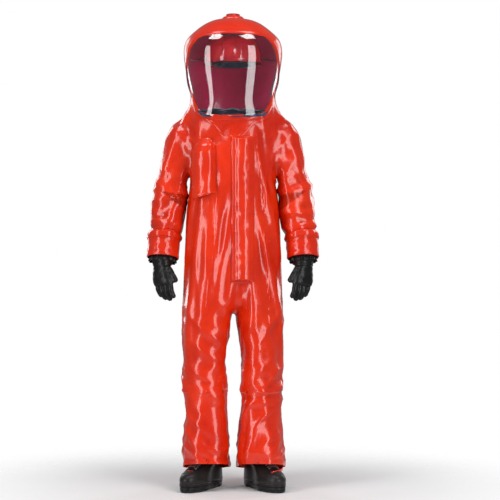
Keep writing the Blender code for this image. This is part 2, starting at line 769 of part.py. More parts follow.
def make_cuff(name, side):
    """The outer splash cuff, welded round the forearm, and the strap that gathers it."""
    axis = wrist_axis(side)
    centre, width, depth = cuff_half(side, 0.0)
    outside = FABRIC + 1.7 * SEAM
    rows = ((0.04, outside, outside), (0.35, outside + 0.001, outside), (1.0, 0.0005, -0.001))
    rings = []
    for share, extra_width, extra_depth in rows:
        rings.append(ring_across(centre + axis * CUFF_LENGTH * share, axis, width + extra_width, depth + extra_depth))
    cuff = shell(name + "_outer_cuff", rings, LAMINATE)
    loose = outside + SEAM + 0.002
    strap_rings = []
    for share, extra in ((0.0, 0.0), (0.5, 0.0015), (1.0, 0.0)):
        place = centre + axis * (0.001 + STRAP_WIDTH * share)
        strap_rings.append(ring_across(place, axis, width + loose + extra + 0.001, depth + loose + extra + 0.001))
    strap = shell(name + "_cuff_strap", strap_rings, LAMINATE, 0.002)
    depth_way = (Vector((0, 1, 0)) - axis * axis.y).normalized()
    inward = depth_way.cross(axis) * side
    tab_centre = centre + axis * (0.001 + STRAP_WIDTH / 2) - depth_way * (depth + 0.009) + inward * 0.010
    turn = Matrix((inward, depth_way, -axis)).transposed().to_4x4()
    joined(strap, box(name + "_strap_tab", (0.046, 0.008, STRAP_WIDTH * 0.86), tab_centre, LAMINATE, turn))
    return cuff, strap


def make_glove(name, side, bend):
    place, turn = wrist_frame(side)
    wrist = pivot(name + "_wrist", place, turn)
    grip = RING_RADIUS + FIT
    low, high = -RING_HEIGHT / 2 - 0.002, RING_HEIGHT / 2 - 0.002
    lip = 0.004
    ring = turned(
        name + "_glove_ring",
        ((RING_RADIUS - lip, high), (RING_RADIUS, high), (RING_RADIUS, low), (RING_RADIUS - lip, low)),
        PLASTIC,
        24,
    )
    band = turned(
        name + "_glove_band",
        tuple(
            (grip + GLOVE_WALL + FIT + r, z)
            for r, z in ((0, 0.003), (BAND_THICKNESS, 0.003), (BAND_THICKNESS, -0.011), (0, -0.011))
        ),
        RUBBER,
        24,
    )
    # The forearm's end is level with the wrist pivot, so the band sits just inside its mouth.
    glove = loft(name + "_glove", hand_rings(), RUBBER, (True, True))
    deep = ((0.02, grip), (-0.030, grip), (-0.055, 0.036), (-0.078, 0.028))
    hollow = [level_ring(z, r, r, count=24, power=2.0) for z, r in deep]
    palm_side = side
    fingers = []
    for k in range(4):
        across = -0.010 + 0.0225 * (k - 1.5)
        length = (0.066, 0.076, 0.072, 0.058)[k]
        rings = finger_rings((0.004 * palm_side, across, -0.132), 0.10 * palm_side, 0.75 * palm_side, length, 0.0118)
        fingers.append(loft(f"{name}_finger_{k}", rings, RUBBER, (True, True)))
    thumb = []
    for k, (x, y, z, size) in enumerate(((0.0, -0.026, -0.086, 0.015), (0.006, -0.046, -0.106, 0.0135), (0.014, -0.058, -0.128, 0.012), (0.020, -0.064, -0.146, 0.008))):
        thumb.append(ring_across(Vector((-x * palm_side, y, z)), Vector((0, -0.4, -1.0)), size, size, 8))
    fingers.append(loft(name + "_thumb", thumb, RUBBER, (True, True)))
    joined(glove, *fingers)
    cavity = as_helper(loft(name + "_glove_cutter", hollow, RUBBER, (True, True)))
    boolean(glove, cavity)
    carry(wrist, ring, band, glove, cavity, *fingers, keep=False)
    carry(bend, wrist)


# ------------------------------------------------------------------ front closure
FLAP_TOP = COLLAR - 0.075
ZIP_X = FLAP_FREE_EDGE + FLAP_WIDTH * 0.56  # under the crown of the flap's arch
ZIP_TOP = FLAP_TOP - 0.022
ZIP_BOTTOM = ZIP_TOP - ZIP_LENGTH


def zip_surface(z):
    """The foremost Y of the torso under the zip's tapes at a height."""
    return min(torso_front(ZIP_X - TAPE_WIDTH, z), torso_front(ZIP_X, z))


def zip_frame():
    """Places a piece modelled flat, front towards -Y, on a straight line that just clears the chest."""
    low, high = zip_surface(ZIP_BOTTOM), zip_surface(ZIP_TOP)
    proud = 0.0
    for share, _, _ in TORSO_PROFILE:
        z = LEG_LENGTH + share * TORSO_LENGTH
        if ZIP_BOTTOM < z < ZIP_TOP:
            straight = low + (high - low) * (z - ZIP_BOTTOM) / ZIP_LENGTH
            proud = max(proud, straight - zip_surface(z))
    lean = math.atan2(low - high, ZIP_LENGTH)
    middle = Vector((ZIP_X, (low + high) / 2 - proud - FIT, (ZIP_TOP + ZIP_BOTTOM) / 2))
    return Matrix.Translation(middle) @ Matrix.Rotation(lean, 4, "X")


ZIP_STACK = TAPE_THICKNESS + FIT + SLIDER_SIZE[1] + FIT + PULL_SIZE[1]


def zip_front(z):
    """Y of the front of the slider and its pull tab when they stand at a height."""
    frame = zip_frame()
    up = frame.to_3x3() @ Vector((0, 0, 1))
    line = frame.translation + up * (z - frame.translation.z) / up.z
    return line.y - ZIP_STACK


FLAP_COLUMNS = (0.0, 0.02, 0.18, 0.31, 0.45, 0.60, 0.75, 0.88, 1.0)  # shares of the flap's width
FLAP_STACK = 2 * HOOK_THICKNESS + 4 * FIT  # hook and loop strips under the free edge


def flap_point(share, z, lift):
    """A point that far off the torso, at a share of the flap's width from its free edge."""
    x = FLAP_FREE_EDGE + FLAP_WIDTH * share
    return Vector((x, torso_front(x, z) - lift, z))


def flap_levels():
    rows = 12
    return [FLAP_TOP - FLAP_LENGTH * (1 - k / (rows - 1)) for k in range(rows)]


def flap_arch(share):
    """Height of the arch as a share of its rise, none at the strips and at the sewn edge."""
    past = max(share - FLAP_COLUMNS[2], 0) / (1 - FLAP_COLUMNS[2])
    return math.sin(math.pi * min(past * 1.08, 1)) ** 0.8


def flap_rest(share):
    """The flap lies on its strips at the free edge and on the torso at the sewn edge."""
    past = max(share - FLAP_COLUMNS[2], 0) / (1 - FLAP_COLUMNS[2])
    return FLAP_STACK + (2 * FIT - FLAP_STACK) * past


def flap_rise(z):
    """How high the flap arches at a height to clear the slider and its pull tab."""
    rise = 0.0
    for side in SIDES.values():
        x = ZIP_X + side * SLIDER_SIZE[0] / 2
        share = (x - FLAP_FREE_EDGE) / FLAP_WIDTH
        need = torso_front(x, z) - zip_front(z) + FLAP_CLEARANCE - flap_rest(share)
        rise = max(rise, need / flap_arch(share))
    return rise


def flap_lift(share, z):
    return flap_rest(share) + flap_rise(z) * flap_arch(share)


def make_flap():
    rings = [[flap_point(s, z, flap_lift(s, z)) for s in FLAP_COLUMNS] for z in flap_levels()]
    flap = walled(loft("storm_flap", rings, LAMINATE, wrap=False), FABRIC, 1.0)
    first, last = FLAP_COLUMNS[1:3]
    strips = []
    for name, gap in (("storm_flap_hook_strip", None), ("storm_flap_loop_strip", FIT + HOOK_THICKNESS * 0.7)):
        strip = [
            [flap_point(s, z, flap_rest(s) - gap if gap else 3 * FIT) for s in (first, last)]
            for z in flap_levels()[1:-1]
        ]
        strips.append(walled(loft(name, strip, NAVY, wrap=False), HOOK_THICKNESS * 0.7, 1.0))
    carry(pivot("storm_flap_hinge", *flap_hinge()), flap, strips[1])


def flap_hinge():
    """The hinge leans with the sewn edge and lies just in front of all of it."""
    low, high = (flap_point(1.0, z, 2 * FIT) for z in (FLAP_TOP - FLAP_LENGTH, FLAP_TOP))
    along = (high - low).normalized()
    proud = 0.0
    for z in flap_levels():
        edge = flap_point(1.0, z, 2 * FIT + FABRIC)
        straight = low.y + (high.y - low.y) * (z - low.z) / (high.z - low.z)
        proud = max(proud, straight - edge.y)
    lean = math.atan2(along.y, along.z)
    return (low + high) / 2 + Vector((0, -proud, 0)), Matrix.Rotation(-lean, 4, "X")


def tape_box(name, side):
    """One tape with its row of teeth standing up along the inner edge."""
    tape = box(name, (TAPE_WIDTH, TAPE_THICKNESS, ZIP_LENGTH), (side * (TAPE_WIDTH + FIT) / 2, -TAPE_THICKNESS / 2, 0), NAVY)
    rib_centre = (side * (TEETH_WIDTH + FIT) / 2, -TAPE_THICKNESS - TEETH_HEIGHT / 2 + 0.0002, 0)
    rib = box(name + "_rib", (TEETH_WIDTH, TEETH_HEIGHT, ZIP_LENGTH - 0.02), rib_centre, PLASTIC)
    joined(tape, rib)
    return [tape, rib]


def make_zip():
    frame = zip_frame()
    line = pivot("zip_line", frame.translation, frame.to_3x3().to_4x4())
    pieces = tape_box("zip_tape_right", -1) + tape_box("zip_tape_left", 1)
    width, depth, length = SLIDER_SIZE
    top = ZIP_LENGTH / 2 - 0.014
    back = -TAPE_THICKNESS - FIT
    slider = box("zip_slider", (width, depth, length), (0, back - depth / 2, top - length / 2), STEEL)
    channel_size = (2 * TEETH_WIDTH + FIT + 0.0012, 2 * (TEETH_HEIGHT + 0.0008), length * 2)
    channel = as_helper(box("slider_channel_cutter", channel_size, (0, back, top - length / 2), STEEL))
    boolean(slider, channel)
    waist = as_helper(box("slider_waist_cutter", (0.006, 0.030, 0.006), (0, back - depth, top - length), STEEL))
    boolean(slider, waist)
    pull_top = top - length * 0.45
    pull_place = (0, back - depth - FIT - PULL_SIZE[1] / 2, pull_top - PULL_SIZE[2] / 2)
    pull = box("zip_pull_tab", PULL_SIZE, pull_place, NAVY)
    carry(line, *pieces, slider, channel, waist, pull, keep=False)


# ------------------------------------------------------------------ valves and chest flap
def valve_parts(prefix, paint):
    """A mushroom exhaust valve about its own Z axis, with its flange's underside at z = 0."""
    r, h, wall, neck = VALVE_RADIUS, VALVE_HEIGHT, VALVE_WALL, VALVE_NECK
    seat = wall
    body = turned(
        prefix + "_valve_body",
        ((r - wall, h), (r, h), (r, 0), (neck, 0), (neck, -0.010), (neck - wall, -0.010), (neck - wall, seat), (r - wall, seat)),
        paint,
    )
    disc = turned(
        prefix + "_valve_disc",
        ((0.0, seat + 0.0018 + FIT), (r - wall - 0.0015, seat + 0.0014 + FIT), (r - wall - 0.0015, seat + FIT), (0.0, seat + FIT)),
        RUBBER,
    )
    top = h + FIT
    cap = turned(
        prefix + "_valve_cap",
        ((0.009, top + 0.0045), (r * 0.80, top + 0.0030), (r + 0.001, top), (0.009, top)),
        paint,
    )
    return body, disc, cap


def torso_out(x, z):
    """Level unit vector square to the torso's front."""
    width, depth = torso_half(z)
    y = torso_front(x, z)
    slope_x = math.copysign((abs(x) / width) ** (SQUARENESS - 1) / width, x)
    slope_y = -((abs(y) / depth) ** (SQUARENESS - 1)) / depth
    return Vector((slope_x, slope_y, 0)).normalized()


def chest_valve_frame():
    """On the chest, square to the fabric, with its own Z axis pointing out of the suit."""
    z = COLLAR - CHEST_VALVE_DROP
    x, y = CHEST_VALVE_X, torso_front(CHEST_VALVE_X, z)
    out = torso_out(x, z)
    across = Vector((0, 0, 1)).cross(out)
    turn = Matrix((across, Vector((0, 0, 1)), out)).transposed().to_4x4()
    return Matrix.Translation(Vector((x, y, z)) + out * 0.0012) @ turn


def make_valves():
    place = chest_valve_frame()
    chest = pivot("chest_valve", place.translation, place.to_3x3().to_4x4())
    carry(chest, *valve_parts("chest", VALVE), keep=False)
    nut_low = -FABRIC - 0.0115
    nut = turned(
        "chest_valve_locknut",
        ((VALVE_NECK + 0.007, nut_low + 0.005), (VALVE_NECK + 0.007, nut_low), (VALVE_NECK + FIT, nut_low), (VALVE_NECK + FIT, nut_low + 0.005)),
        PLASTIC,
    )
    carry(chest, nut, keep=False)
    crown = pivot("crown_valve", (0, 0, CROWN + HOOD_SEAM + FIT))
    carry(crown, *valve_parts("crown", VALVE), keep=False)
    make_chest_flap(place)


def chest_flap_point(across, down, lift):
    """A point of the flap: across from -1 to 1, down from 0 to 1, that far off the torso."""
    arched = math.sin(math.pi / 2 * min(1.0, 0.30 + down / 0.32)) if down < 0.32 else 1.0
    slant = 0.030 * down * (0.5 - across / 2)
    x = CHEST_VALVE_X + CHEST_FLAP_WIDTH / 2 * across * arched * 0.92
    z = COLLAR - CHEST_VALVE_DROP + CHEST_FLAP_LENGTH * (0.42 - down) - slant
    return Vector((x, torso_front(x, z), z)) + torso_out(x, z) * lift


def make_chest_flap(place):
    """A bulging cover, welded along its arched top and open at its slanted bottom."""
    steps = 9
    rings = []
    for j in range(steps):
        down = j / (steps - 1)
        swell = CHEST_FLAP_RISE * math.sin(math.pi / 2 * min(1.0, down / 0.26))
        row = []
        for k in range(steps):
            across = -1 + 2 * k / (steps - 1)
            row.append(chest_flap_point(across, down, 5 * FIT + swell * (1 - across**2) ** 0.5))
        rings.append(row)
    flap = walled(loft("chest_flap", rings, LAMINATE, wrap=False), FABRIC, 1.0)
    top = chest_flap_point(0, 0, 2 * FIT + FABRIC)
    across = Vector((0, 0, 1)).cross(torso_out(top.x, top.z))
    turn = Matrix.Rotation(math.atan2(across.y, across.x), 4, "Z")
    carry(pivot("chest_flap_hinge", top, turn), flap)


# ------------------------------------------------------------------ helmet
def helmet_rings(inset=0.0):
    base = COLLAR + HELMET_BRIM
    rings = []
    for k in range(7):
        angle = math.pi / 2 * k / 7
        spread = math.cos(angle) ** 0.8
        z = base + (HELMET_HEIGHT - inset) * math.sin(angle)
        rings.append(level_ring(z, (HELMET_WIDTH / 2 - inset) * spread, (HELMET_LENGTH / 2 - inset) * spread, count=28, power=2.1))
    return rings


def arch(name, half_span, height, base, width, thick, along_y):
    """A flat strap bent over the head as half an ellipse."""
    rings = []
    for k in range(13):
        angle = math.pi * k / 12
        out = Vector((math.cos(angle), 0, math.sin(angle)))
        inner = Vector((out.x * (half_span - thick), 0, base + out.z * (height - thick)))
        outer = Vector((out.x * half_span, 0, base + out.z * height))
        half = Vector((0, width / 2, 0))
        rings.append([inner - half, inner + half, outer + half, outer - half])
    if along_y:
        rings = [[Vector((-p.y, p.x, p.z)) for p in ring] for ring in rings]
    return loft(name, rings, NAVY, (True, True))


def make_helmet():
    base = COLLAR + HELMET_BRIM
    shell = walled(loft("helmet_shell", helmet_rings(), HELMET, (False, True)), HELMET_WALL)
    half_width, half_length = HELMET_WIDTH / 2, HELMET_LENGTH / 2
    rim = []
    for z, grow in ((base - 0.001, 0.0), (base - 0.001, BRIM_WIDTH), (base + 0.003, BRIM_WIDTH), (base + 0.003, 0.0)):
        ring = level_ring(z, half_width + grow - 0.001, half_length + grow - 0.001, count=28, power=2.1)
        if grow:
            ring = [Vector((p.x, p.y - PEAK_LENGTH * max(0.0, -p.y / half_length) ** 2.5, p.z - 0.008 * max(0.0, -p.y / half_length) ** 2.5)) for p in ring]
        rim.append(ring)
    rim.append(rim[0])
    brim = loft("helmet_brim", rim, HELMET)
    weld = brim.modifiers.new("weld", "WELD")
    weld.merge_threshold = 0.00001
    joined(shell, brim)

    band_half = (HEAD_WIDTH / 2, HEAD_LENGTH / 2)
    low = base - 0.012
    band_rings = [level_ring(low + HEADBAND_HEIGHT * k, *band_half, count=28, power=2.1) for k in (0, 1)]
    walled(loft("helmet_headband", band_rings, PLASTIC), 0.002)
    inside = [level_ring(low + 0.002 + (HEADBAND_HEIGHT - 0.004) * k, band_half[0] - 0.002 - SEAM, band_half[1] - 0.002 - SEAM, count=28, power=2.1) for k in (0, 1)]
    walled(loft("helmet_sweatband", inside, NAVY), 0.003)

    top = low + HEADBAND_HEIGHT + FIT
    thick = 0.0015
    cross = arch("helmet_cradle", band_half[0] + thick + FIT, 0.094, top, 0.020, thick, False)
    long_arch = arch("cradle_long", band_half[1] + thick + FIT, 0.094, top, 0.020, thick, True)
    lugs = []
    reach_x = half_width - HELMET_WALL - 0.0031 - band_half[0]
    reach_y = half_length - HELMET_WALL - 0.0036 - band_half[1]
    for sign in (-1, 1):
        lug_x = sign * (band_half[0] + FIT + 0.001 + (reach_x - FIT - 0.001) / 2)
        lugs.append(box(f"cradle_lug_x{sign}", (reach_x - FIT - 0.001, 0.016, 0.006), (lug_x, 0, top + 0.003), NAVY))
        lug_y = sign * (band_half[1] + FIT + 0.001 + (reach_y - FIT - 0.001) / 2)
        lugs.append(box(f"cradle_lug_y{sign}", (0.016, reach_y - FIT - 0.001, 0.006), (0, lug_y, top + 0.003), NAVY))
    joined(cross, long_arch, *lugs)

    knob_place = Vector((0, band_half[1] + FIT, low + HEADBAND_HEIGHT * 0.36))
    knob = turned("helmet_ratchet_knob", ((0.0, 0.010), (0.0075, 0.010), (0.009, 0.008), (0.009, 0.0), (0.0, 0.0)), PLASTIC, 16)
    hub = pivot("helmet_ratchet", knob_place, Matrix.Rotation(-math.pi / 2, 4, "X"))
    carry(hub, knob, keep=False)

    strap_z = base + 0.018
    wall_x = hood_half(strap_z)[0] - FABRIC - 3 * SEAM
    shell_x = half_width * math.cos(math.asin(0.018 / HELMET_HEIGHT)) ** 0.8 + FIT
    for name, side in SIDES.items():
        rings = []
        for k in range(7):
            share = k / 6
            x = side * (shell_x + (wall_x - shell_x) * share)
            z = strap_z - 0.010 * math.sin(math.pi * share)
            half, thick = WEBBING_WIDTH / 2, WEBBING_THICKNESS / 2
            rings.append([Vector((x, -half, z - thick)), Vector((x, half, z - thick)), Vector((x, half, z + thick)), Vector((x, -half, z + thick))])
        loft(name + "_helmet_strap", rings, NAVY, (True, True))


make_torso()
make_hood()
for side_name, side_sign in SIDES.items():
    make_leg(side_name, side_sign)
    make_arm(side_name, side_sign)
make_flap()
make_zip()
make_valves()
make_helmet()
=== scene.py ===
"""Looks of the chemical protective suit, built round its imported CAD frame.

The coverall is one skin: trunk, hood, legs and sleeves are voxel-joined, draped as cloth over a hidden wearer,
and then parted where the joints bend it. Flaps, cuffs, gloves, boots, visor and helmet are built round it.
"""

import json
import math

import bmesh
import bpy
import numpy as np
from mathutils import Matrix, Vector, noise
from mathutils.bvhtree import BVHTree


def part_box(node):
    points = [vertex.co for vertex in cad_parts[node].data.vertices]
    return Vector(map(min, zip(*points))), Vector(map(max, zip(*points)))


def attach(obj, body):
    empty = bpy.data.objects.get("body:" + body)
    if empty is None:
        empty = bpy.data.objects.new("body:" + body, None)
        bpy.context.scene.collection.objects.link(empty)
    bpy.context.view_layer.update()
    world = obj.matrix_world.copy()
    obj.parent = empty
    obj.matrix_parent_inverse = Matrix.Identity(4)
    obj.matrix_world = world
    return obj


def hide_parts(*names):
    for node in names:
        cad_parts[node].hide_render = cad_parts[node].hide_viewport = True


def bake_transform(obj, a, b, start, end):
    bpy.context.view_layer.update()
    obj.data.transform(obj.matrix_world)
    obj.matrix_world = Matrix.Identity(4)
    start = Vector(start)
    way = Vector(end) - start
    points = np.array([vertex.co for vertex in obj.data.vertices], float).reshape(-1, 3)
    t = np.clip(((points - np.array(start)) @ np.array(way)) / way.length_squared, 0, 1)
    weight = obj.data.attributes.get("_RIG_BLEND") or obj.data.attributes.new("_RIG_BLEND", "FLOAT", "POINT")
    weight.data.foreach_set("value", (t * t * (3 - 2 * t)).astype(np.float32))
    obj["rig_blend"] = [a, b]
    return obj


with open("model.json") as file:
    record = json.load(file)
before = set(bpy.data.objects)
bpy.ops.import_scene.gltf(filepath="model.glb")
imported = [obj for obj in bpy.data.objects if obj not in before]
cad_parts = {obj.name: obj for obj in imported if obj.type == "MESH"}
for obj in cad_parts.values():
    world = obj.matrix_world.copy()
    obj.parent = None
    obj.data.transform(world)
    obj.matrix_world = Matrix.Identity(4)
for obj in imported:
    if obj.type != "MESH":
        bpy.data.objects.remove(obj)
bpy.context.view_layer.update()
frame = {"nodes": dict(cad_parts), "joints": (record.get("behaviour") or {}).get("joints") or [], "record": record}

# ------------------------------------------------------------------ places read from the frame
JOINTS = {joint["name"]: joint for joint in frame["joints"]}
SIDES = {"right": -1, "left": 1}
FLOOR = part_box("left_boot_sole")[0].z
CROTCH, COLLAR = (corner.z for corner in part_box("torso_shell"))
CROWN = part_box("hood_shell")[1].z
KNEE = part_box("left_leg_shell")[0].z
TRUNK_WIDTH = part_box("torso_shell")[1].x
TRUNK_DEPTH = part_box("torso_shell")[1].y
HOOD_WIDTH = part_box("hood_shell")[1].x
HOOD_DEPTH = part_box("hood_shell")[1].y


def joint_place(name):
    return Vector(JOINTS[name]["pos_m"])


SHOULDER = joint_place("left_shoulder")
ELBOW = joint_place("left_elbow")
WRIST = joint_place("left_glove_lock")

# ------------------------------------------------------------------ shape of the coverall
VOXEL = 0.0115
COLUMNS = 64
SQUARENESS = 2.4
ARM_RAISED = math.radians(30)  # the sleeves are joined to the trunk raised, and then let down

# Share of the height from the crotch to the collar, then shares of the half width and half depth.
TRUNK_ROWS = (
    (-0.05, 0.930, 0.930), (0.00, 0.990, 1.000), (0.12, 1.000, 0.992), (0.25, 0.990, 0.984),
    (0.40, 0.972, 0.975), (0.54, 0.940, 0.966), (0.68, 0.905, 0.957), (0.80, 0.890, 0.949),
    (0.90, 0.885, 0.920), (0.957, 0.875, 0.880), (1.00, 0.845, 0.850),
)
# The same from the collar to the crown.
HOOD_ROWS = (
    (0.06, 0.890, 0.850), (0.14, 0.845, 0.865), (0.27, 0.882, 0.915), (0.445, 0.959, 0.972),
    (0.617, 0.995, 0.995), (0.716, 0.960, 0.965), (0.79, 0.880, 0.890), (0.877, 0.733, 0.750),
    (0.951, 0.540, 0.555), (0.988, 0.30, 0.32), (1.0, 0.10, 0.11),
)
# Height, half width, half depth and middle of a leg.
LEG_ROWS = (
    (CROTCH + 0.06, 0.100, 0.146, 0.106), (CROTCH - 0.02, 0.104, 0.146, 0.110), (0.70, 0.101, 0.140, 0.113),
    (0.62, 0.095, 0.124, 0.116), (0.55, 0.087, 0.113, 0.119), (0.48, 0.081, 0.104, 0.120),
    (0.42, 0.078, 0.100, 0.119), (KNEE, 0.080, 0.101, 0.118), (0.33, 0.086, 0.105, 0.115),
    (0.25, 0.092, 0.113, 0.113), (0.17, 0.097, 0.121, 0.112), (0.08, 0.100, 0.128, 0.114),
    (0.02, 0.100, 0.128, 0.114),
)


def sleeve_stations():
    """Centre, half width and half depth of the left sleeve, from inside the trunk down to past the wrist."""
    down = (WRIST - ELBOW).normalized()
    upper = SHOULDER.lerp(ELBOW, 0.45)
    return [
        (SHOULDER + Vector((-0.080, 0.0, -0.020)), 0.080, 0.078),
        (SHOULDER + Vector((-0.006, 0.0, -0.020)), 0.092, 0.089),
        (SHOULDER + Vector((0.036, 0.001, -0.062)), 0.080, 0.087),
        (Vector((upper.x + 0.024, 0.008, upper.z)), 0.070, 0.083),
        (Vector((ELBOW.x - 0.006, 0.012, ELBOW.z + 0.085)), 0.067, 0.080),
        (ELBOW, 0.067, 0.079),
        (ELBOW.lerp(WRIST, 0.42), 0.064, 0.074),
        (ELBOW.lerp(WRIST, 0.72), 0.059, 0.066),
        (WRIST, 0.053, 0.055),
        (WRIST + down * 0.035, 0.051, 0.052),
    ]


def superellipse(angle, half_width, half_depth, power=SQUARENESS):
    c, s = math.cos(angle), math.sin(angle)
    x = half_width * math.copysign(abs(c) ** (2 / power), c)
    return x, half_depth * math.copysign(abs(s) ** (2 / power), s)


def level_ring(z, half_width, half_depth, x=0.0, y=0.0, columns=COLUMNS, power=SQUARENESS):
    points = (superellipse(math.tau * k / columns, half_width, half_depth, power) for k in range(columns))
    return [Vector((x + px, y + py, z)) for px, py in points]


def ring_across(centre, along, half_width, half_depth, columns=COLUMNS):
    """An ellipse square to a path, its depth as near to Y as the path allows."""
    along = along.normalized()
    depth = (Vector((0, 1, 0)) - along * along.y).normalized()
    width = depth.cross(along)
    angles = (math.tau * k / columns for k in range(columns))
    return [centre + width * half_width * math.cos(a) + depth * half_depth * math.sin(a) for a in angles]


def smoothstep(value):
    value = min(max(value, 0.0), 1.0)
    return value * value * (3 - 2 * value)


def between_rows(rows, steps):
    """Rows of numbers made denser with a Catmull-Rom spline."""
    dense = []
    for k in range(len(rows) - 1):
        before, a, b, after = (rows[min(max(k + n, 0), len(rows) - 1)] for n in (-1, 0, 1, 2))
        for j in range(steps):
            t = j / steps
            dense.append(tuple(
                0.5 * (2 * q + (r - p) * t + (2 * p - 5 * q + 4 * r - s) * t * t
                       + (3 * q - p - 3 * r + s) * t**3)
                for p, q, r, s in zip(before, a, b, after)
            ))
    dense.append(tuple(rows[-1]))
    return dense


# ------------------------------------------------------------------ mesh helpers
def new_object(name, bm):
    mesh = bpy.data.meshes.new(name)
    bm.to_mesh(mesh)
    bm.free()
    made = bpy.data.objects.new(name, mesh)
    bpy.context.scene.collection.objects.link(made)
    return made


def add_loft(bm, rings, caps=(True, True), wrap=True):
    """Adds a surface through rings to bm, and returns its vertices ring by ring."""
    loops = [[bm.verts.new(p) for p in ring] for ring in rings]
    count = len(loops[0])
    for low, high in zip(loops, loops[1:]):
        for k in range(count if wrap else count - 1):
            after = (k + 1) % count
            bm.faces.new((low[k], low[after], high[after], high[k]))
    if caps[0]:
        bm.faces.new(reversed(loops[0]))
    if caps[1]:
        bm.faces.new(loops[-1])
    return loops


def faced_outward(bm):
    if bm.calc_volume(signed=True) < 0:
        bmesh.ops.reverse_faces(bm, faces=bm.faces)


def positions(mesh):
    flat = np.empty(len(mesh.vertices) * 3, np.float64)
    mesh.vertices.foreach_get("co", flat)
    return flat.reshape(-1, 3)


def set_positions(mesh, points):
    mesh.vertices.foreach_set("co", np.asarray(points, np.float32).ravel())
    mesh.update()


def applied(obj):
    """The object's mesh with its modifiers applied and removed."""
    depsgraph = bpy.context.evaluated_depsgraph_get()
    mesh = bpy.data.meshes.new_from_object(obj.evaluated_get(depsgraph))
    obj.modifiers.clear()
    obj.data = mesh
    return obj


def edges_of(mesh):
    flat = np.empty(len(mesh.edges) * 2, np.int32)
    mesh.edges.foreach_get("vertices", flat)
    return flat.reshape(-1, 2)


def smoothed(points, edges, rounds, share=0.5, weight=None):
    """Laplacian smoothing of points or of any numbers on a mesh's vertices."""
    points = np.array(points, float)
    count = np.bincount(edges.ravel(), minlength=len(points)).astype(float)
    count = np.maximum(count, 1)
    shape = (-1, 1) if points.ndim == 2 else (-1,)
    weight = 1.0 if weight is None else weight.reshape(shape)
    for _ in range(rounds):
        total = np.zeros_like(points)
        np.add.at(total, edges[:, 0], points[edges[:, 1]])
        np.add.at(total, edges[:, 1], points[edges[:, 0]])
        points += share * weight * (total / count.reshape(shape) - points)
    return points


# ------------------------------------------------------------------ the coverall's skin before it drapes
def trunk_rings():
    rows = [(CROTCH + s * (COLLAR - CROTCH), w * TRUNK_WIDTH, d * TRUNK_DEPTH) for s, w, d in TRUNK_ROWS]
    rows += [(COLLAR + s * (CROWN - COLLAR), w * HOOD_WIDTH, d * HOOD_DEPTH) for s, w, d in HOOD_ROWS]
    return [level_ring(*row) for row in between_rows(rows, 3)]


def leg_rings(sign):
    rows = between_rows(LEG_ROWS, 2)
    return [level_ring(z, w, d, x=sign * x, power=2.2 if z > 0.3 else 2.8) for z, w, d, x in rows]


def arm_line():
    """Points down the middle of the left sleeve, with half width and half depth, and the length along it."""
    rows = [(*centre, width, depth) for centre, width, depth in sleeve_stations()]
    dense = between_rows(rows, 6)
    centres = [Vector(row[:3]) for row in dense]
    lengths = [0.0]
    for a, b in zip(centres, centres[1:]):
        lengths.append(lengths[-1] + (b - a).length)
    return centres, [row[3:] for row in dense], lengths


SHOULDER_RISE = 0.032
BEND_START, BEND_END = 0.085, 0.215  # lengths down the sleeve between which it is let down


def raised(point, length, sign=1):
    """A point of the hanging sleeve, turned out about the shoulder."""
    turn = Matrix.Rotation(-ARM_RAISED * smoothstep((length - BEND_START) / (BEND_END - BEND_START)), 3, "Y")
    return SHOULDER + turn @ (point - SHOULDER)


def sleeve_rings(sign):
    centres, sizes, lengths = arm_line()
    high = [raised(c, s) for c, s in zip(centres, lengths)]
    rings = []
    for k, ((width, depth), centre) in enumerate(zip(sizes, high)):
        along = high[min(k + 1, len(high) - 1)] - high[max(k - 1, 0)]
        ring = ring_across(centre, along, width, depth)
        rings.append([Vector((sign * p.x, p.y, p.z)) for p in ring])
    return rings


def joined_skin():
    """Trunk, hood, legs and raised sleeves as one voxel-joined skin."""
    bm = bmesh.new()
    solids = [trunk_rings()]
    for sign in SIDES.values():
        solids += [leg_rings(sign), sleeve_rings(sign)]
    for rings in solids:
        part = bmesh.new()
        add_loft(part, rings)
        faced_outward(part)
        mesh = bpy.data.meshes.new("part")
        part.to_mesh(mesh)
        part.free()
        bm.from_mesh(mesh)
    skin = new_object("coverall", bm)
    remesh = skin.modifiers.new("join", "REMESH")
    remesh.mode = "VOXEL"
    remesh.voxel_size = VOXEL
    applied(skin)
    points, edges = positions(skin.data), edges_of(skin.data)
    points = smoothed(points, edges, 10, 0.5)
    near_crotch = np.exp(-(((points[:, 2] - CROTCH + 0.01) / 0.05) ** 2)) * (np.abs(points[:, 0]) < 0.19)
    points = smoothed(points, edges, 50, 0.5, near_crotch)
    set_positions(skin.data, points)
    return skin


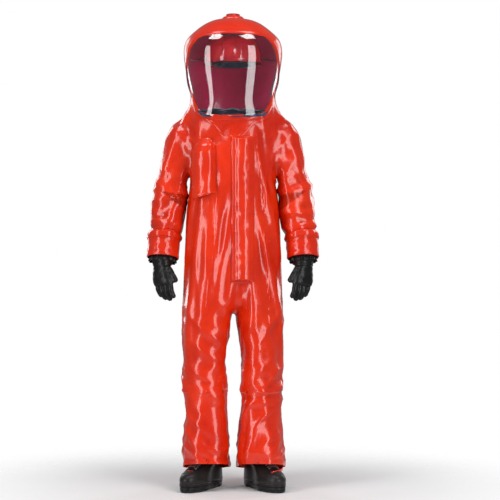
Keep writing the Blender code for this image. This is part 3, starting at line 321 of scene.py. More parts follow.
def let_down(skin):
    """Turns the sleeves down to where they hang, and stores how far down its sleeve each vertex is."""
    centres, sizes, lengths = arm_line()
    high = np.array([raised(c, s) for c, s in zip(centres, lengths)])
    radii = np.array([max(size) for size in sizes])
    points = positions(skin.data)
    side = np.sign(points[:, 0])
    mirrored = points.copy()
    mirrored[:, 0] = np.abs(mirrored[:, 0])
    apart = np.linalg.norm(mirrored[:, None, :] - high[None, :, :], axis=2)
    nearest = apart.argmin(axis=1)
    length = np.array(lengths)[nearest]
    # between two stations, by projection
    nxt = np.minimum(nearest + 1, len(high) - 1)
    prv = np.maximum(nearest - 1, 0)
    along = high[nxt] - high[prv]
    size = np.linalg.norm(along, axis=1)
    length = length + np.einsum("ij,ij->i", mirrored - high[nearest], along / size[:, None])
    off = apart.min(axis=1) / radii[nearest]
    member = np.clip((1.32 - off) / 0.2, 0, 1)
    member[(nearest == 0) | (mirrored[:, 0] < 0.12)] = 0
    ease = np.clip((length - BEND_START) / (BEND_END - BEND_START), 0, 1)
    ease = smoothed(ease * ease * (3 - 2 * ease) * member, edges_of(skin.data), 30)
    angle = ARM_RAISED * ease
    rel = mirrored - np.array(SHOULDER)
    x = rel[:, 0] * np.cos(angle) + rel[:, 2] * np.sin(angle)
    z = -rel[:, 0] * np.sin(angle) + rel[:, 2] * np.cos(angle)
    moved = np.stack([(x + SHOULDER.x) * side, points[:, 1], z + SHOULDER.z], axis=1)
    set_positions(skin.data, moved)
    down = np.where(member > 0.5, length, 0.0)
    from_high = np.linalg.norm(mirrored - high[nearest], axis=1)
    at_shoulder = np.exp(-((from_high - 0.09) / 0.06) ** 2) * (length < 0.26)
    moved = smoothed(moved, edges_of(skin.data), 36, 0.5,
                     at_shoulder * (mirrored[:, 0] > 0.1) * (points[:, 2] > 1.15))
    # The shoulders slope from the hood down to the sleeves without a corner.
    out, high_up = np.abs(moved[:, 0]), moved[:, 2] - SHOULDER.z
    slope = np.exp(-(((out - 0.225) / 0.058) ** 2)) * np.clip((high_up + 0.07) / 0.08, 0, 1)
    moved[:, 2] += SHOULDER_RISE * slope
    moved[:, 0] += np.sign(moved[:, 0]) * SHOULDER_RISE * 0.4 * slope * np.clip((out - 0.15) / 0.08, 0, 1)
    set_positions(skin.data, moved)
    return moved, down


# ------------------------------------------------------------------ the drape
GROWTH = 0.055  # how much longer the cloth is than the surface it starts from
MOST_MOVE = 0.024
DRAPE_FRAMES = 26
ZIP_X = sum(corner.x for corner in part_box("zip_slider")) / 2
ZIP_LOW, ZIP_HIGH = (corner.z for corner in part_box("zip_tape_left"))
VALVE = sum(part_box("chest_valve_body"), Vector()) / 2
ARM_LENGTH = arm_line()[2][-1] - 0.035  # down to the wrist
# Height, half width and half depth of the wearer's trunk and head, and radii down arm and leg.
WEARER_TRUNK = (
    (CROTCH - 0.03, 0.135, 0.105), (0.90, 0.160, 0.118), (1.05, 0.150, 0.108), (1.20, 0.148, 0.110),
    (1.32, 0.165, 0.112), (1.40, 0.150, 0.092), (1.44, 0.085, 0.075), (1.50, 0.062, 0.065),
)


def tube_rings(points, radii, columns=24):
    rings = []
    for k, (point, radius) in enumerate(zip(points, radii)):
        along = points[min(k + 1, len(points) - 1)] - points[max(k - 1, 0)]
        rings.append(ring_across(point, along, radius, radius, columns))
    return rings


def wearer():
    """A plain body inside the suit, which the cloth rests on while it drapes. It is removed afterwards."""
    bm = bmesh.new()
    add_loft(bm, [level_ring(*row, columns=32) for row in between_rows(WEARER_TRUNK, 2)])
    for sign in SIDES.values():
        across = Vector((sign, 1, 1))
        arm = [SHOULDER * across, SHOULDER.lerp(ELBOW, 0.5) * across, ELBOW * across, WRIST * across]
        add_loft(bm, tube_rings(arm, (0.062, 0.050, 0.047, 0.032)))
        leg = [Vector((sign * x, 0.0, z))
               for x, z in ((0.085, 0.80), (0.105, 0.60), (0.113, 0.42), (0.113, 0.12))]
        add_loft(bm, tube_rings(leg, (0.082, 0.070, 0.060, 0.050)))
    body = new_object("wearer", bm)
    body.modifiers.new("touch", "COLLISION")
    body.collision.thickness_outer = 0.004
    body.collision.cloth_friction = 8
    return body


def near(points, place, reach):
    """Falls from 1 at a place to 0 at a distance from it."""
    apart = np.linalg.norm(points - np.array(place), axis=1)
    return np.clip(1.4 * (1 - apart / reach), 0, 1)


def hold_weights(points, down):
    """How firmly each vertex is held where it starts: hood, zip, valve and wrists stay put."""
    x, y, z = points.T
    hold = np.clip((z - COLLAR - 0.02) / 0.08, 0, 1)
    at_zip = np.clip(1.6 * (1 - np.abs(x - ZIP_X) / 0.075), 0, 1) * (y < 0)
    at_zip *= np.clip((z - ZIP_LOW + 0.03) / 0.03, 0, 1)
    wrist = np.clip((down - ARM_LENGTH + 0.050) / 0.025, 0, 1)
    hold = np.maximum.reduce([hold, at_zip, wrist, near(points, VALVE, 0.075)])
    return np.maximum(hold, 0.035)


def drape(skin, down):
    body = wearer()
    start = positions(skin.data)
    hold = skin.vertex_groups.new(name="hold")
    for index, weight in enumerate(hold_weights(start, down)):
        hold.add([index], float(weight), "REPLACE")
    cloth = skin.modifiers.new("drape", "CLOTH")
    settings = cloth.settings
    settings.quality = 6
    settings.mass = 0.35
    settings.air_damping = 2
    settings.tension_stiffness = settings.compression_stiffness = 30
    settings.shear_stiffness = 12
    settings.bending_stiffness = 1.2
    settings.vertex_group_mass = "hold"
    settings.pin_stiffness = 1.0
    settings.shrink_min = -GROWTH
    cloth.collision_settings.distance_min = 0.004
    cloth.collision_settings.collision_quality = 2
    scene = bpy.context.scene
    scene.frame_start, scene.frame_end = 1, DRAPE_FRAMES
    cloth.point_cache.frame_start, cloth.point_cache.frame_end = 1, DRAPE_FRAMES
    for frame_number in range(1, DRAPE_FRAMES + 1):
        scene.frame_set(frame_number)
    applied(skin)
    scene.frame_set(1)
    bpy.data.objects.remove(body)
    move = positions(skin.data) - start
    size = np.maximum(np.linalg.norm(move, axis=1, keepdims=True), 1e-9)
    hung = start + move / size * MOST_MOVE * np.tanh(size / MOST_MOVE)
    calm = np.where(down > 0, 0.35, 1.0) * np.clip((start[:, 2] - CROTCH + 0.15) / 0.2, 0.35, 1)
    set_positions(skin.data, smoothed(hung, edges_of(skin.data), 5, 0.5, calm))


# ------------------------------------------------------------------ creases, cuts and pieces
def ridges(points, scale, seed):
    """Creases between 0 and 1, sharp at their crests, stretched by a different scale along each axis."""
    shift = Vector((seed * 7.3, seed * 3.1, seed * 5.7))
    scaled = points * np.array(scale)
    values = np.array([noise.noise(Vector(p) + shift) for p in scaled.tolist()])
    return 1 - np.abs(values) * 2.2


def vertex_normals(mesh):
    flat = np.empty(len(mesh.vertices) * 3, np.float64)
    mesh.vertex_normals.foreach_get("vector", flat)
    return flat.reshape(-1, 3)


def float_attribute(mesh, name, values=None):
    if values is not None:
        attribute = mesh.attributes.get(name) or mesh.attributes.new(name, "FLOAT", "POINT")
        attribute.data.foreach_set("value", np.asarray(values, np.float32))
    flat = np.empty(len(mesh.vertices), np.float32)
    mesh.attributes[name].data.foreach_get("value", flat)
    return flat.astype(float)


def bump_at(values, middle, reach):
    return np.exp(-(((values - middle) / reach) ** 2))


def crease(skin):
    """Creases a coarse drape misses: at elbows, wrists, knees and ankles, and long ones down the trunk."""
    mesh = skin.data
    points, down = positions(mesh), float_attribute(mesh, "down")
    x, y, z = points.T
    sleeve = np.clip(down / 0.1, 0, 1) * (down > 0)
    elbow_at = ARM_LENGTH * 0.56
    at_elbow = bump_at(down, elbow_at, 0.075) * sleeve
    gather = bump_at(down, ARM_LENGTH - 0.105, 0.030) * sleeve
    leg = np.clip((CROTCH - z) / 0.10, 0, 1)
    at_knee = bump_at(z, KNEE + 0.02, 0.075) * leg
    at_ankle = bump_at(z, 0.13, 0.07) * leg
    hood = np.clip((z - COLLAR) / 0.06, 0, 1)
    near_zip = np.clip(1.6 * (1 - np.abs(x - ZIP_X) / 0.075), 0, 1)
    still = near_zip * (y < 0) * (z > ZIP_LOW - 0.03) * (z < COLLAR)
    along_sleeve = np.stack([x, y, np.where(down > 0, down, z)], axis=1)
    across = ridges(along_sleeve, (6, 6, 17), 1)
    fine = ridges(points, (15, 15, 26), 2)
    long_folds = ridges(points, (17, 14, 3.2), 3)
    slanted = np.stack([x + 0.5 * z, y, z - 0.7 * np.abs(x)], axis=1)
    slant = ridges(slanted, (7, 7, 12), 4)
    amount = 0.0125 * across * (0.9 * at_elbow + 0.7 * gather + 1.15 * at_knee + 0.7 * at_ankle)
    amount += 0.0008 * fine * (0.6 + sleeve + at_knee) * (1 - hood * 0.5)
    amount += 0.0030 * long_folds * (1 - sleeve) * (1 - leg) * (1 - hood)
    amount += 0.0075 * slant * (sleeve * 0.8 + leg * 0.9)
    amount -= 0.0035 * (1 - hood)
    amount *= (1 - still) * (1 - near(points, VALVE, 0.075))
    points = points + vertex_normals(mesh) * amount[:, None]
    set_positions(mesh, points)


WINDOW = sum(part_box("visor_pane"), Vector()) / 2 - Vector((0, 0, 0.021))  # middle of the visor
WINDOW_HEIGHT = (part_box("visor_pane")[1].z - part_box("visor_pane")[0].z) / 2 * 1.07
WINDOW_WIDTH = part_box("visor_pane")[1].x * 1.10
# Height and half width of the window as shares, from its top to its bottom.
WINDOW_ROWS = (
    (1.00, 0.30), (0.995, 0.57), (0.93, 0.73), (0.75, 0.87), (0.55, 0.945), (0.30, 0.978), (0.05, 0.975),
    (-0.20, 0.945), (-0.55, 0.84), (-0.80, 0.75), (-0.94, 0.67), (-1.00, 0.48),
)
HEM_MIDDLE, HEM_FALL = 0.085, 0.2  # the leg hems drop towards the back
SHOULDER_WAY = Vector((0.6, 0.0, -0.8))  # the way the shoulder's bend runs, on the left
SHOULDER_BEND = 0.095
ELBOW_BEND = 0.064
SPARE = 0.004  # how far a bending piece's edges lie past its bend


def hood_half(z):
    share = (z - COLLAR) / (CROWN - COLLAR)
    rows = np.array(between_rows(HOOD_ROWS, 6))
    return (np.interp(share, rows[:, 0], rows[:, k]) * size for k, size in ((1, HOOD_WIDTH), (2, HOOD_DEPTH)))


def hood_front(x, z):
    width, depth = hood_half(z)
    return -depth * (1 - min(abs(x) / width, 0.999) ** SQUARENESS) ** (1 / SQUARENESS)


def window_loop():
    """Points round the window on the hood's front, from the top middle towards the wearer's left."""
    rows = between_rows(WINDOW_ROWS, 8)
    right_way = [(w * WINDOW_WIDTH, WINDOW.z + h * WINDOW_HEIGHT) for h, w in rows]
    flat = right_way + [(-x, z) for x, z in reversed(right_way)]
    return [Vector((x, hood_front(x, z), z)) for x, z in flat]


def in_window(x, z):
    shares = np.array(between_rows(WINDOW_ROWS, 8))[::-1]
    share_up = (z - WINDOW.z) / WINDOW_HEIGHT
    half = np.interp(share_up, shares[:, 0], shares[:, 1], left=0, right=0) * WINDOW_WIDTH
    return np.abs(x) < half - 0.003


def cut(skin):
    """Opens the window, the leg hems and the sleeve ends."""
    bm = bmesh.new()
    bm.from_mesh(skin.data)
    down = bm.verts.layers.float["down"]
    front = [f for f in bm.faces if f.calc_center_median().y < -0.04 and f.calc_center_median().z > COLLAR]
    centres = np.array([f.calc_center_median() for f in front])
    gone = in_window(centres[:, 0], centres[:, 2])
    bmesh.ops.delete(bm, geom=[f for f, g in zip(front, gone) if g], context="FACES")
    low = [f for f in bm.faces if f.calc_center_median().z < 0.2]
    geom = low + list({e for f in low for e in f.edges}) + list({v for f in low for v in f.verts})
    plane = Vector((0, HEM_FALL, 1)).normalized()
    bmesh.ops.bisect_plane(bm, geom=geom, plane_co=(0, 0, HEM_MIDDLE), plane_no=plane, clear_inner=True)
    for sign in SIDES.values():
        way = (WRIST - ELBOW).normalized() * Vector((sign, 1, 1))
        place = WRIST * Vector((sign, 1, 1))
        ends = [f for f in bm.faces
                if all(v[down] > ARM_LENGTH - 0.08 and v.co.x * sign > 0 for v in f.verts)]
        geom = ends + list({e for f in ends for e in f.edges}) + list({v for f in ends for v in f.verts})
        bmesh.ops.bisect_plane(bm, geom=geom, plane_co=place, plane_no=way, clear_outer=True)
    bm.to_mesh(skin.data)
    bm.free()


def part_of(source, name, keep):
    """The marked faces of the skin, as a piece that keeps the whole skin's normals."""
    bm = bmesh.new()
    bm.from_mesh(source.data)
    bmesh.ops.delete(bm, geom=[f for f, k in zip(bm.faces, keep) if not k], context="FACES")
    piece = new_object(name, bm)
    mesh = piece.data
    flat = np.empty(len(mesh.vertices) * 3, np.float32)
    mesh.attributes["whole_normal"].data.foreach_get("vector", flat)
    mesh.shade_smooth()
    mesh.normals_split_custom_set_from_vertices(flat.reshape(-1, 3).tolist())
    return piece


def split(skin):
    """Parts the skin at the shoulders and elbows, and lets each part follow its bodies."""
    mesh = skin.data
    points, member = positions(mesh), float_attribute(mesh, "member") > 0.5
    whole = mesh.attributes.new("whole_normal", "FLOAT_VECTOR", "POINT")
    whole.data.foreach_set("vector", vertex_normals(mesh).astype(np.float32).ravel())
    faces = [tuple(polygon.vertices) for polygon in mesh.polygons]
    on_sleeve = np.array([all(member[v] for v in face) for face in faces])
    middle = np.array([points[list(face)].mean(axis=0) for face in faces])
    body = np.ones(len(faces), bool)
    for side, sign in SIDES.items():
        mine = on_sleeve & (middle[:, 0] * sign > 0)
        flip = np.array((sign, 1, 1))
        way = np.array(SHOULDER_WAY) * flip
        edge = {v for face, on in zip(faces, mine) if not on for v in face}
        edge &= {v for face, on in zip(faces, mine) if on for v in face}
        edge = np.array(sorted(edge))
        start = float((points[edge] @ way).max()) + 0.001
        along = middle @ way - start
        elbow = np.array(ELBOW) * flip
        forearm_way = np.array((WRIST - ELBOW).normalized()) * flip
        upper_way = np.array((ELBOW - SHOULDER.lerp(ELBOW, 0.45)).normalized()) * flip
        bend_way = (forearm_way + upper_way) / np.linalg.norm(forearm_way + upper_way)
        past = (middle - elbow) @ bend_way
        shoulder = mine & (along > -SPARE) & (along < SHOULDER_BEND + SPARE)
        upper = mine & (along >= SHOULDER_BEND + SPARE) & (past < -ELBOW_BEND - SPARE)
        bend = mine & (past >= -ELBOW_BEND - SPARE) & (past <= ELBOW_BEND + SPARE)
        fore = mine & (past > ELBOW_BEND + SPARE)
        body &= ~(shoulder | upper | bend | fore)
        fabric = part_of(skin, f"{side}_shoulder_fabric", shoulder)
        begin = Vector(way * start)
        dress(fabric, "laminate", None, f"{side}_shoulder_gusset")
        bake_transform(fabric, "suit", f"{side}_upper_arm", start=begin, end=begin + Vector(way * SHOULDER_BEND))
        dress(part_of(skin, f"{side}_upper_arm_fabric", upper), "laminate", f"{side}_upper_arm",
              f"{side}_upper_sleeve")
        fabric = part_of(skin, f"{side}_elbow_fabric", bend)
        dress(fabric, "laminate", None, f"{side}_elbow_gusset")
        at = (Vector(elbow + bend_way * k * ELBOW_BEND) for k in (-1, 1))
        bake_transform(fabric, f"{side}_upper_arm", f"{side}_forearm", start=next(at), end=next(at))
        dress(part_of(skin, f"{side}_forearm_fabric", fore), "laminate", f"{side}_forearm",
              f"{side}_forearm_sleeve")
    legs = [f"{side}_{part}" for side in SIDES for part in ("leg_shell", "boot_overflap")]
    dress(part_of(skin, "coverall_fabric", body), "laminate", "suit", "torso_shell", "hood_shell", *legs)


# ------------------------------------------------------------------ materials
class Paint:
    """A procedural material: a Principled shader with textures in the object's own coordinates."""

    def __init__(self, name, colour, roughness, **constants):
        self.material = bpy.data.materials.new(name)
        self.material.use_nodes = True
        self.tree = self.material.node_tree
        self.shader = self.tree.nodes["Principled BSDF"]
        self.place = self.tree.nodes.new("ShaderNodeTexCoord").outputs["Object"]
        self.normal = None
        self.set("Base Color", (*colour, 1))
        self.set("Roughness", roughness)
        for key, value in constants.items():
            self.set(key.replace("_", " "), value)

    def set(self, socket, value):
        self.shader.inputs[socket].default_value = value

    def node(self, kind, **values):
        made = self.tree.nodes.new(kind)
        for key, value in values.items():
            made.inputs[key].default_value = value
        return made

    def link(self, source, target):
        self.tree.links.new(source, target)

    def noise(self, scale, detail=2.0, distortion=0.0, stretch=None):
        made = self.node("ShaderNodeTexNoise", Scale=scale, Detail=detail, Distortion=distortion)
        place = self.place
        if stretch:
            mapping = self.node("ShaderNodeMapping", Scale=stretch)
            self.link(place, mapping.inputs["Vector"])
            place = mapping.outputs["Vector"]
        self.link(place, made.inputs["Vector"])
        return made.outputs["Fac"]

    def weave(self, pitch, turn=0.0):
        """Crossed threads that far apart."""
        crossed = []
        for direction in ("X", "Z"):
            wave = self.node("ShaderNodeTexWave", Scale=0.314 / pitch)
            wave.bands_direction = direction
            mapping = self.node("ShaderNodeMapping", Rotation=(0, turn, 0))
            self.link(self.place, mapping.inputs["Vector"])
            self.link(mapping.outputs["Vector"], wave.inputs["Vector"])
            crossed.append(wave.outputs["Fac"])
        both = self.tree.nodes.new("ShaderNodeMath")
        both.operation = "MAXIMUM"
        for k, output in enumerate(crossed):
            self.link(output, both.inputs[k])
        return both.outputs[0]

    def cells(self, scale):
        made = self.node("ShaderNodeTexVoronoi", Scale=scale)
        self.link(self.place, made.inputs["Vector"])
        return made.outputs["Distance"]

    def pointiness(self):
        return self.tree.nodes.new("ShaderNodeNewGeometry").outputs["Pointiness"]

    def ramp(self, value, low, high, start=0.3, end=0.7):
        made = self.tree.nodes.new("ShaderNodeValToRGB")
        for element, place, colour in zip(made.color_ramp.elements, (start, end), (low, high)):
            element.position = place
            element.color = (*colour, 1)
        self.link(value, made.inputs["Fac"])
        return made.outputs["Color"]

    def colours(self, value, low, high, start=0.3, end=0.7):
        self.link(self.ramp(value, low, high, start, end), self.shader.inputs["Base Color"])
        return self

    def shaded(self, value, start, end, dark):
        """Multiplies the colour so far by a darker tint where value is low."""
        before = self.shader.inputs["Base Color"].links[0].from_socket
        mix = self.tree.nodes.new("ShaderNodeMix")
        mix.data_type, mix.blend_type = "RGBA", "MULTIPLY"
        mix.inputs["Factor"].default_value = 1.0
        self.link(before, mix.inputs["A"])
        self.link(self.ramp(value, dark, (1, 1, 1), start, end), mix.inputs["B"])
        self.link(mix.outputs["Result"], self.shader.inputs["Base Color"])
        return self

    def rough(self, value, low, high):
        spread = self.node("ShaderNodeMapRange")
        spread.inputs["To Min"].default_value, spread.inputs["To Max"].default_value = low, high
        self.link(value, spread.inputs["Value"])
        self.link(spread.outputs["Result"], self.shader.inputs["Roughness"])
        return self

    def bump(self, height, strength, distance):
        made = self.node("ShaderNodeBump", Strength=strength, Distance=distance)
        self.link(height, made.inputs["Height"])
        if self.normal:
            self.link(self.normal, made.inputs["Normal"])
        self.normal = made.outputs["Normal"]
        self.link(self.normal, self.shader.inputs["Normal"])
        return self


def laminate_paint(name, low, high, crumple=0.30, painted_glow=0.0):
    """Coated fabric: glossy, finely woven, crumpled, with painted shade browning its folds. glow is painted light
    through it.
    """
    paint = Paint(name, high, 0.25, Specular_IOR_Level=0.35, Coat_Weight=0.35, Coat_Roughness=0.05)
    # painted light: the fabric glows in its own colour, standing in for light coming through it
    paint.set("Emission Color", (*high, 1))
    paint.set("Emission Strength", painted_glow)
    paint.colours(paint.noise(5, 4, 0.6), low, high)
    # painted shade: where the surface is concave, in creases and folds, the colour is darkened to red-brown
    paint.shaded(paint.pointiness(), 0.455, 0.50, (0.62, 0.42, 0.40))
    paint.rough(paint.noise(38, 4), 0.16, 0.32)
    paint.bump(paint.noise(17, 3, 1.4), crumple, 0.006)
    paint.bump(paint.noise(62, 3, 0.8), crumple * 0.5, 0.0016)
    return paint.bump(paint.weave(0.0012), 0.10, 0.0001)


def webbing_paint(name, low, high, pitch=0.0016):
    paint = Paint(name, high, 0.8, Sheen_Weight=0.3)
    return paint.colours(paint.noise(90, 3), low, high).bump(paint.weave(pitch, 0.78), 0.5, 0.0004)


def plastic_paint(name, low, high, roughness, **constants):
    paint = Paint(name, high, roughness, **constants)
    paint.colours(paint.noise(30, 3), low, high).rough(paint.noise(140, 3), roughness * 0.7, roughness * 1.4)
    return paint.bump(paint.noise(700, 2), 0.08, 0.0002)


def leather_paint():
    paint = Paint("boot_leather", (0.012, 0.011, 0.011), 0.33, Specular_IOR_Level=0.2, Coat_Weight=0.10,
                  Coat_Roughness=0.2)
    paint.colours(paint.noise(14, 4), (0.008, 0.008, 0.009), (0.024, 0.021, 0.020))
    paint.rough(paint.noise(60, 3), 0.24, 0.50).bump(paint.noise(30, 3, 1.0), 0.3, 0.002)
    return paint.bump(paint.cells(620), 0.35, 0.0005)


def rubber_paint(name, low=(0.005, 0.005, 0.005), high=(0.013, 0.013, 0.014)):
    paint = Paint(name, high, 0.34, Specular_IOR_Level=0.2, Coat_Weight=0.10, Coat_Roughness=0.15)
    paint.colours(paint.noise(20, 3), low, high).rough(paint.noise(80, 4), 0.24, 0.5)
    return paint.bump(paint.noise(70, 4, 0.8), 0.25, 0.0015).bump(paint.cells(900), 0.1, 0.0002)


def clear_paint():
    paint = Paint("clear_sheet", (0.97, 0.98, 1.0), 0.02, Transmission_Weight=1.0, IOR=1.04)
    paint.set("Coat Weight", 1.0)
    paint.set("Coat Roughness", 0.01)
    return paint.bump(paint.noise(9, 2, 0.5, (1, 1, 0.35)), 0.18, 0.004)


def steel_paint():
    paint = Paint("zip_steel", (0.55, 0.55, 0.56), 0.3, Metallic=1.0)
    paint.colours(paint.noise(60, 3), (0.42, 0.42, 0.43), (0.62, 0.62, 0.63))
    return paint.rough(paint.noise(240, 2, 0, (1, 1, 0.1)), 0.2, 0.42).bump(paint.noise(900, 2), 0.1, 0.0001)


PAINTS = {
    "laminate": laminate_paint("coated_laminate", (0.56, 0.014, 0.002), (0.76, 0.032, 0.004)),
    # the inner face: its crimson is partly painted light coming through the laminate, and its glow (0.16) is
    # painted light
    "lining": laminate_paint("laminate_inner_face_painted_glow", (0.34, 0.006, 0.035), (0.52, 0.014, 0.085), 0.15, 0.16),
    "inner_fabric": webbing_paint("navy_lining", (0.008, 0.013, 0.040), (0.020, 0.032, 0.085), 0.001),
    "webbing": webbing_paint("navy_webbing", (0.008, 0.013, 0.040), (0.020, 0.032, 0.085)),
    "rubber": rubber_paint("black_glove_rubber"),
    "boot_leather": leather_paint(),
    "boot_lace": webbing_paint("reddish_lace", (0.050, 0.012, 0.008), (0.140, 0.034, 0.022), 0.0011),
    "black_plastic": plastic_paint("moulded_black_plastic", (0.012, 0.012, 0.013), (0.024, 0.024, 0.026),
                                   0.4),
    "red_plastic": plastic_paint("moulded_red_plastic", (0.42, 0.014, 0.008), (0.62, 0.026, 0.012), 0.3),
    "helmet_red": plastic_paint("glossy_helmet", (0.40, 0.004, 0.010), (0.54, 0.008, 0.016), 0.12,
                                Coat_Weight=0.8),
    "clear_visor": clear_paint(),
    "steel": steel_paint(),
}


def dress(piece, slot, body=None, *nodes, paint=None):
    """Gives a piece the material of its slot, attaches it to the body it rides on and hides the CAD nodes it
    stands for.
    """
    piece.data.materials.clear()
    piece.data.materials.append(PAINTS[paint or slot].material)
    if body:
        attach(piece, body)
    if nodes:
        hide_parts(*nodes)
    return piece


# ------------------------------------------------------------------ the coverall
coverall = joined_skin()
hanging, down_sleeve = let_down(coverall)
float_attribute(coverall.data, "down", down_sleeve)
float_attribute(coverall.data, "member", (down_sleeve > 0).astype(float))
drape(coverall, down_sleeve)
coverall.modifiers.new("finer", "SUBSURF").levels = 1
applied(coverall)
crease(coverall)
SURFACE = BVHTree.FromObject(coverall, bpy.context.evaluated_depsgraph_get())
cut(coverall)
split(coverall)

# ------------------------------------------------------------------ everything else
def add_grid(bm, rows, wrap_columns=False, wrap_rows=False):
    loops = [[bm.verts.new(p) for p in row] for row in rows]
    pairs = list(zip(loops, loops[1:])) + ([(loops[-1], loops[0])] if wrap_rows else [])
    count = len(rows[0])
    for low, high in pairs:
        for k in range(count if wrap_columns else count - 1):
            after = (k + 1) % count
            bm.faces.new((low[k], low[after], high[after], high[k]))
    return loops


def sheet_of(name, rows, thickness=0.0, wrap_columns=False, wrap_rows=False, outward=None):
    """A smooth sheet through rows of points, its face towards outward and its thickness behind it."""
    bm = bmesh.new()
    add_grid(bm, rows, wrap_columns, wrap_rows)
    bm.normal_update()
    if outward is not None and sum(f.normal.dot(outward(f.calc_center_median())) for f in bm.faces) < 0:
        bmesh.ops.reverse_faces(bm, faces=bm.faces)
    made = new_object(name, bm)
    made.data.shade_smooth()
    if thickness:
        solid = made.modifiers.new("thickness", "SOLIDIFY")
        solid.thickness = thickness
        solid.offset = -1
        applied(made)
        made.data.set_sharp_from_angle(angle=math.radians(60))
    return made


def closed_form(name, rings, smooth_angle=50):
    bm = bmesh.new()
    add_loft(bm, rings)
    faced_outward(bm)
    made = new_object(name, bm)
    made.data.shade_smooth()
    made.data.set_sharp_from_angle(angle=math.radians(smooth_angle))
    return made


def away_from(centre):
    return lambda point: point - centre


def forward(point):
    return Vector((0, -1, 0))


def on_front(x, z, surface=None):
    """The point of the suit's front at an x and a height."""
    hit = (surface or SURFACE).ray_cast(Vector((x, -1, z)), Vector((0, 1, 0)))
    return hit[0] if hit[0] else Vector((x, 0, z))


def dense_path(points, step, closed=False):
    """Points that far apart along a smooth curve through a few."""
    points = [Vector(p) for p in points]
    run = points + [points[0]] if closed else points
    fine = [Vector(row) for row in between_rows([tuple(p) for p in run], 16)]
    lengths = [0.0]
    for a, b in zip(fine, fine[1:]):
        lengths.append(lengths[-1] + (b - a).length)
    count = max(int(lengths[-1] / step), 3)
    flat = np.array([tuple(p) for p in fine])
    at = np.linspace(0, lengths[-1], count + 1)[: count if closed else count + 1]
    return [Vector([float(np.interp(s, lengths, flat[:, axis])) for axis in range(3)]) for s in at]


def ribbon(name, path, width, lift, closed=False, thickness=0.0008, columns=7, pucker=0.0, seed=0,
           slot="laminate"):
    """A tape laid on the suit's surface along a path, a little proud of it, thinner towards its edges."""
    rows = []
    for k, point in enumerate(path):
        before = path[k - 1] if closed or k else path[k]
        after = path[(k + 1) % len(path)] if closed or k + 1 < len(path) else path[k]
        place, normal = SURFACE.find_nearest(point)[:2]
        across = normal.cross(after - before).normalized()
        row = []
        for column in range(columns):
            share = 2 * column / (columns - 1) - 1
            spot, up = SURFACE.find_nearest(place + across * width / 2 * share)[:2]
            crown = lift * (0.35 + 0.65 * (1 - share**4))
            ruck = pucker * noise.noise(spot * 95 + Vector((seed, 0, 0))) * (1 - share * share)
            row.append(spot + (up + normal).normalized() * (crown + ruck))
        rows.append(row)
    made = sheet_of(name, rows, thickness, wrap_rows=closed, outward=lambda p: SURFACE.find_nearest(p)[1])
    return dress(made, slot, "suit")


# ------------------------------------------------------------------ hood: visor, frame and lining
def make_visor():
    loop = window_loop()
    rows = []
    for share in np.linspace(-0.999, 0.999, 44):
        z = WINDOW.z + share * WINDOW_HEIGHT
        shares = np.array(between_rows(WINDOW_ROWS, 8))[::-1]
        half = float(np.interp(share, shares[:, 0], shares[:, 1])) * WINDOW_WIDTH
        row = []
        for k in np.linspace(-1, 1, 57):
            x = half * math.sin(k * math.pi / 2)
            wave = (0.0016 * noise.noise(Vector((x * 11, 0, z * 7)))
                    + 0.0008 * noise.noise(Vector((x * 26, 4, z * 9))))
            row.append(Vector((x, hood_front(x, z) - 0.0005 + wave, z)))
        rows.append(row)
    pane = sheet_of("visor_sheet", rows, 0.0010, outward=forward)
    dress(pane, "clear_visor", "suit", "visor_pane")
    path = dense_path(loop[::6], 0.008, closed=True)
    outside = [p + (p - Vector((0, p.y, WINDOW.z))).normalized() * 0.011 for p in path]
    band = ribbon("visor_frame", outside, 0.026, 0.0032, closed=True, thickness=0.0025, columns=9)
    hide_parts("visor_weld_strip")
    rows = []
    for point in path:
        inward = (Vector((0, point.y, WINDOW.z)) - point).normalized()
        base = point + Vector((0, 0.0045, 0))
        rows.append([base - inward * 0.006, base + inward * 0.001, base + inward * 0.007])
    seal = sheet_of("visor_seal", rows, 0.001, wrap_rows=True, outward=forward)
    dress(seal, "webbing", "suit", "visor_inner_seal")


def make_lining():
    """The laminate's inner face, seen through the visor. Its crimson is partly painted light through the laminate;
    its glow is painted light.
    """
    bm = bmesh.new()
    bm.from_mesh(coverall.data)
    member = bm.verts.layers.float["member"]
    bm.normal_update()
    low = COLLAR - 0.26
    gone = [f for f in bm.faces if f.calc_center_median().z < low or any(v[member] > 0.3 for v in f.verts)]
    bmesh.ops.delete(bm, geom=gone, context="FACES")
    for vertex in bm.verts:
        vertex.co -= vertex.normal * 0.0035
    bmesh.ops.reverse_faces(bm, faces=bm.faces)
    made = new_object("hood_lining", bm)
    made.data.shade_smooth()
    dress(made, "laminate", "suit", paint="lining")


def make_neck_cape():
    """A navy cape inside the collar that the helmet's harness hangs in, open for the head."""
    rows = []
    for share in np.linspace(0, 1, 9):
        z = COLLAR + 0.030 - 0.020 * share + 0.012 * math.sin(share * 5)
        width, depth = 0.150 - 0.075 * share, 0.130 - 0.055 * share
        ring = level_ring(z, width, depth, columns=72, power=2.1)
        rows.append([p + Vector((0, 0, 0.004 * math.sin(11 * math.atan2(p.y, p.x)) * (1 - share)))
                     for p in ring])
    made = sheet_of("neck_cape", rows, 0.0015, wrap_columns=True, outward=lambda p: Vector((0, 0, 1)))
    dress(made, "inner_fabric", "suit")


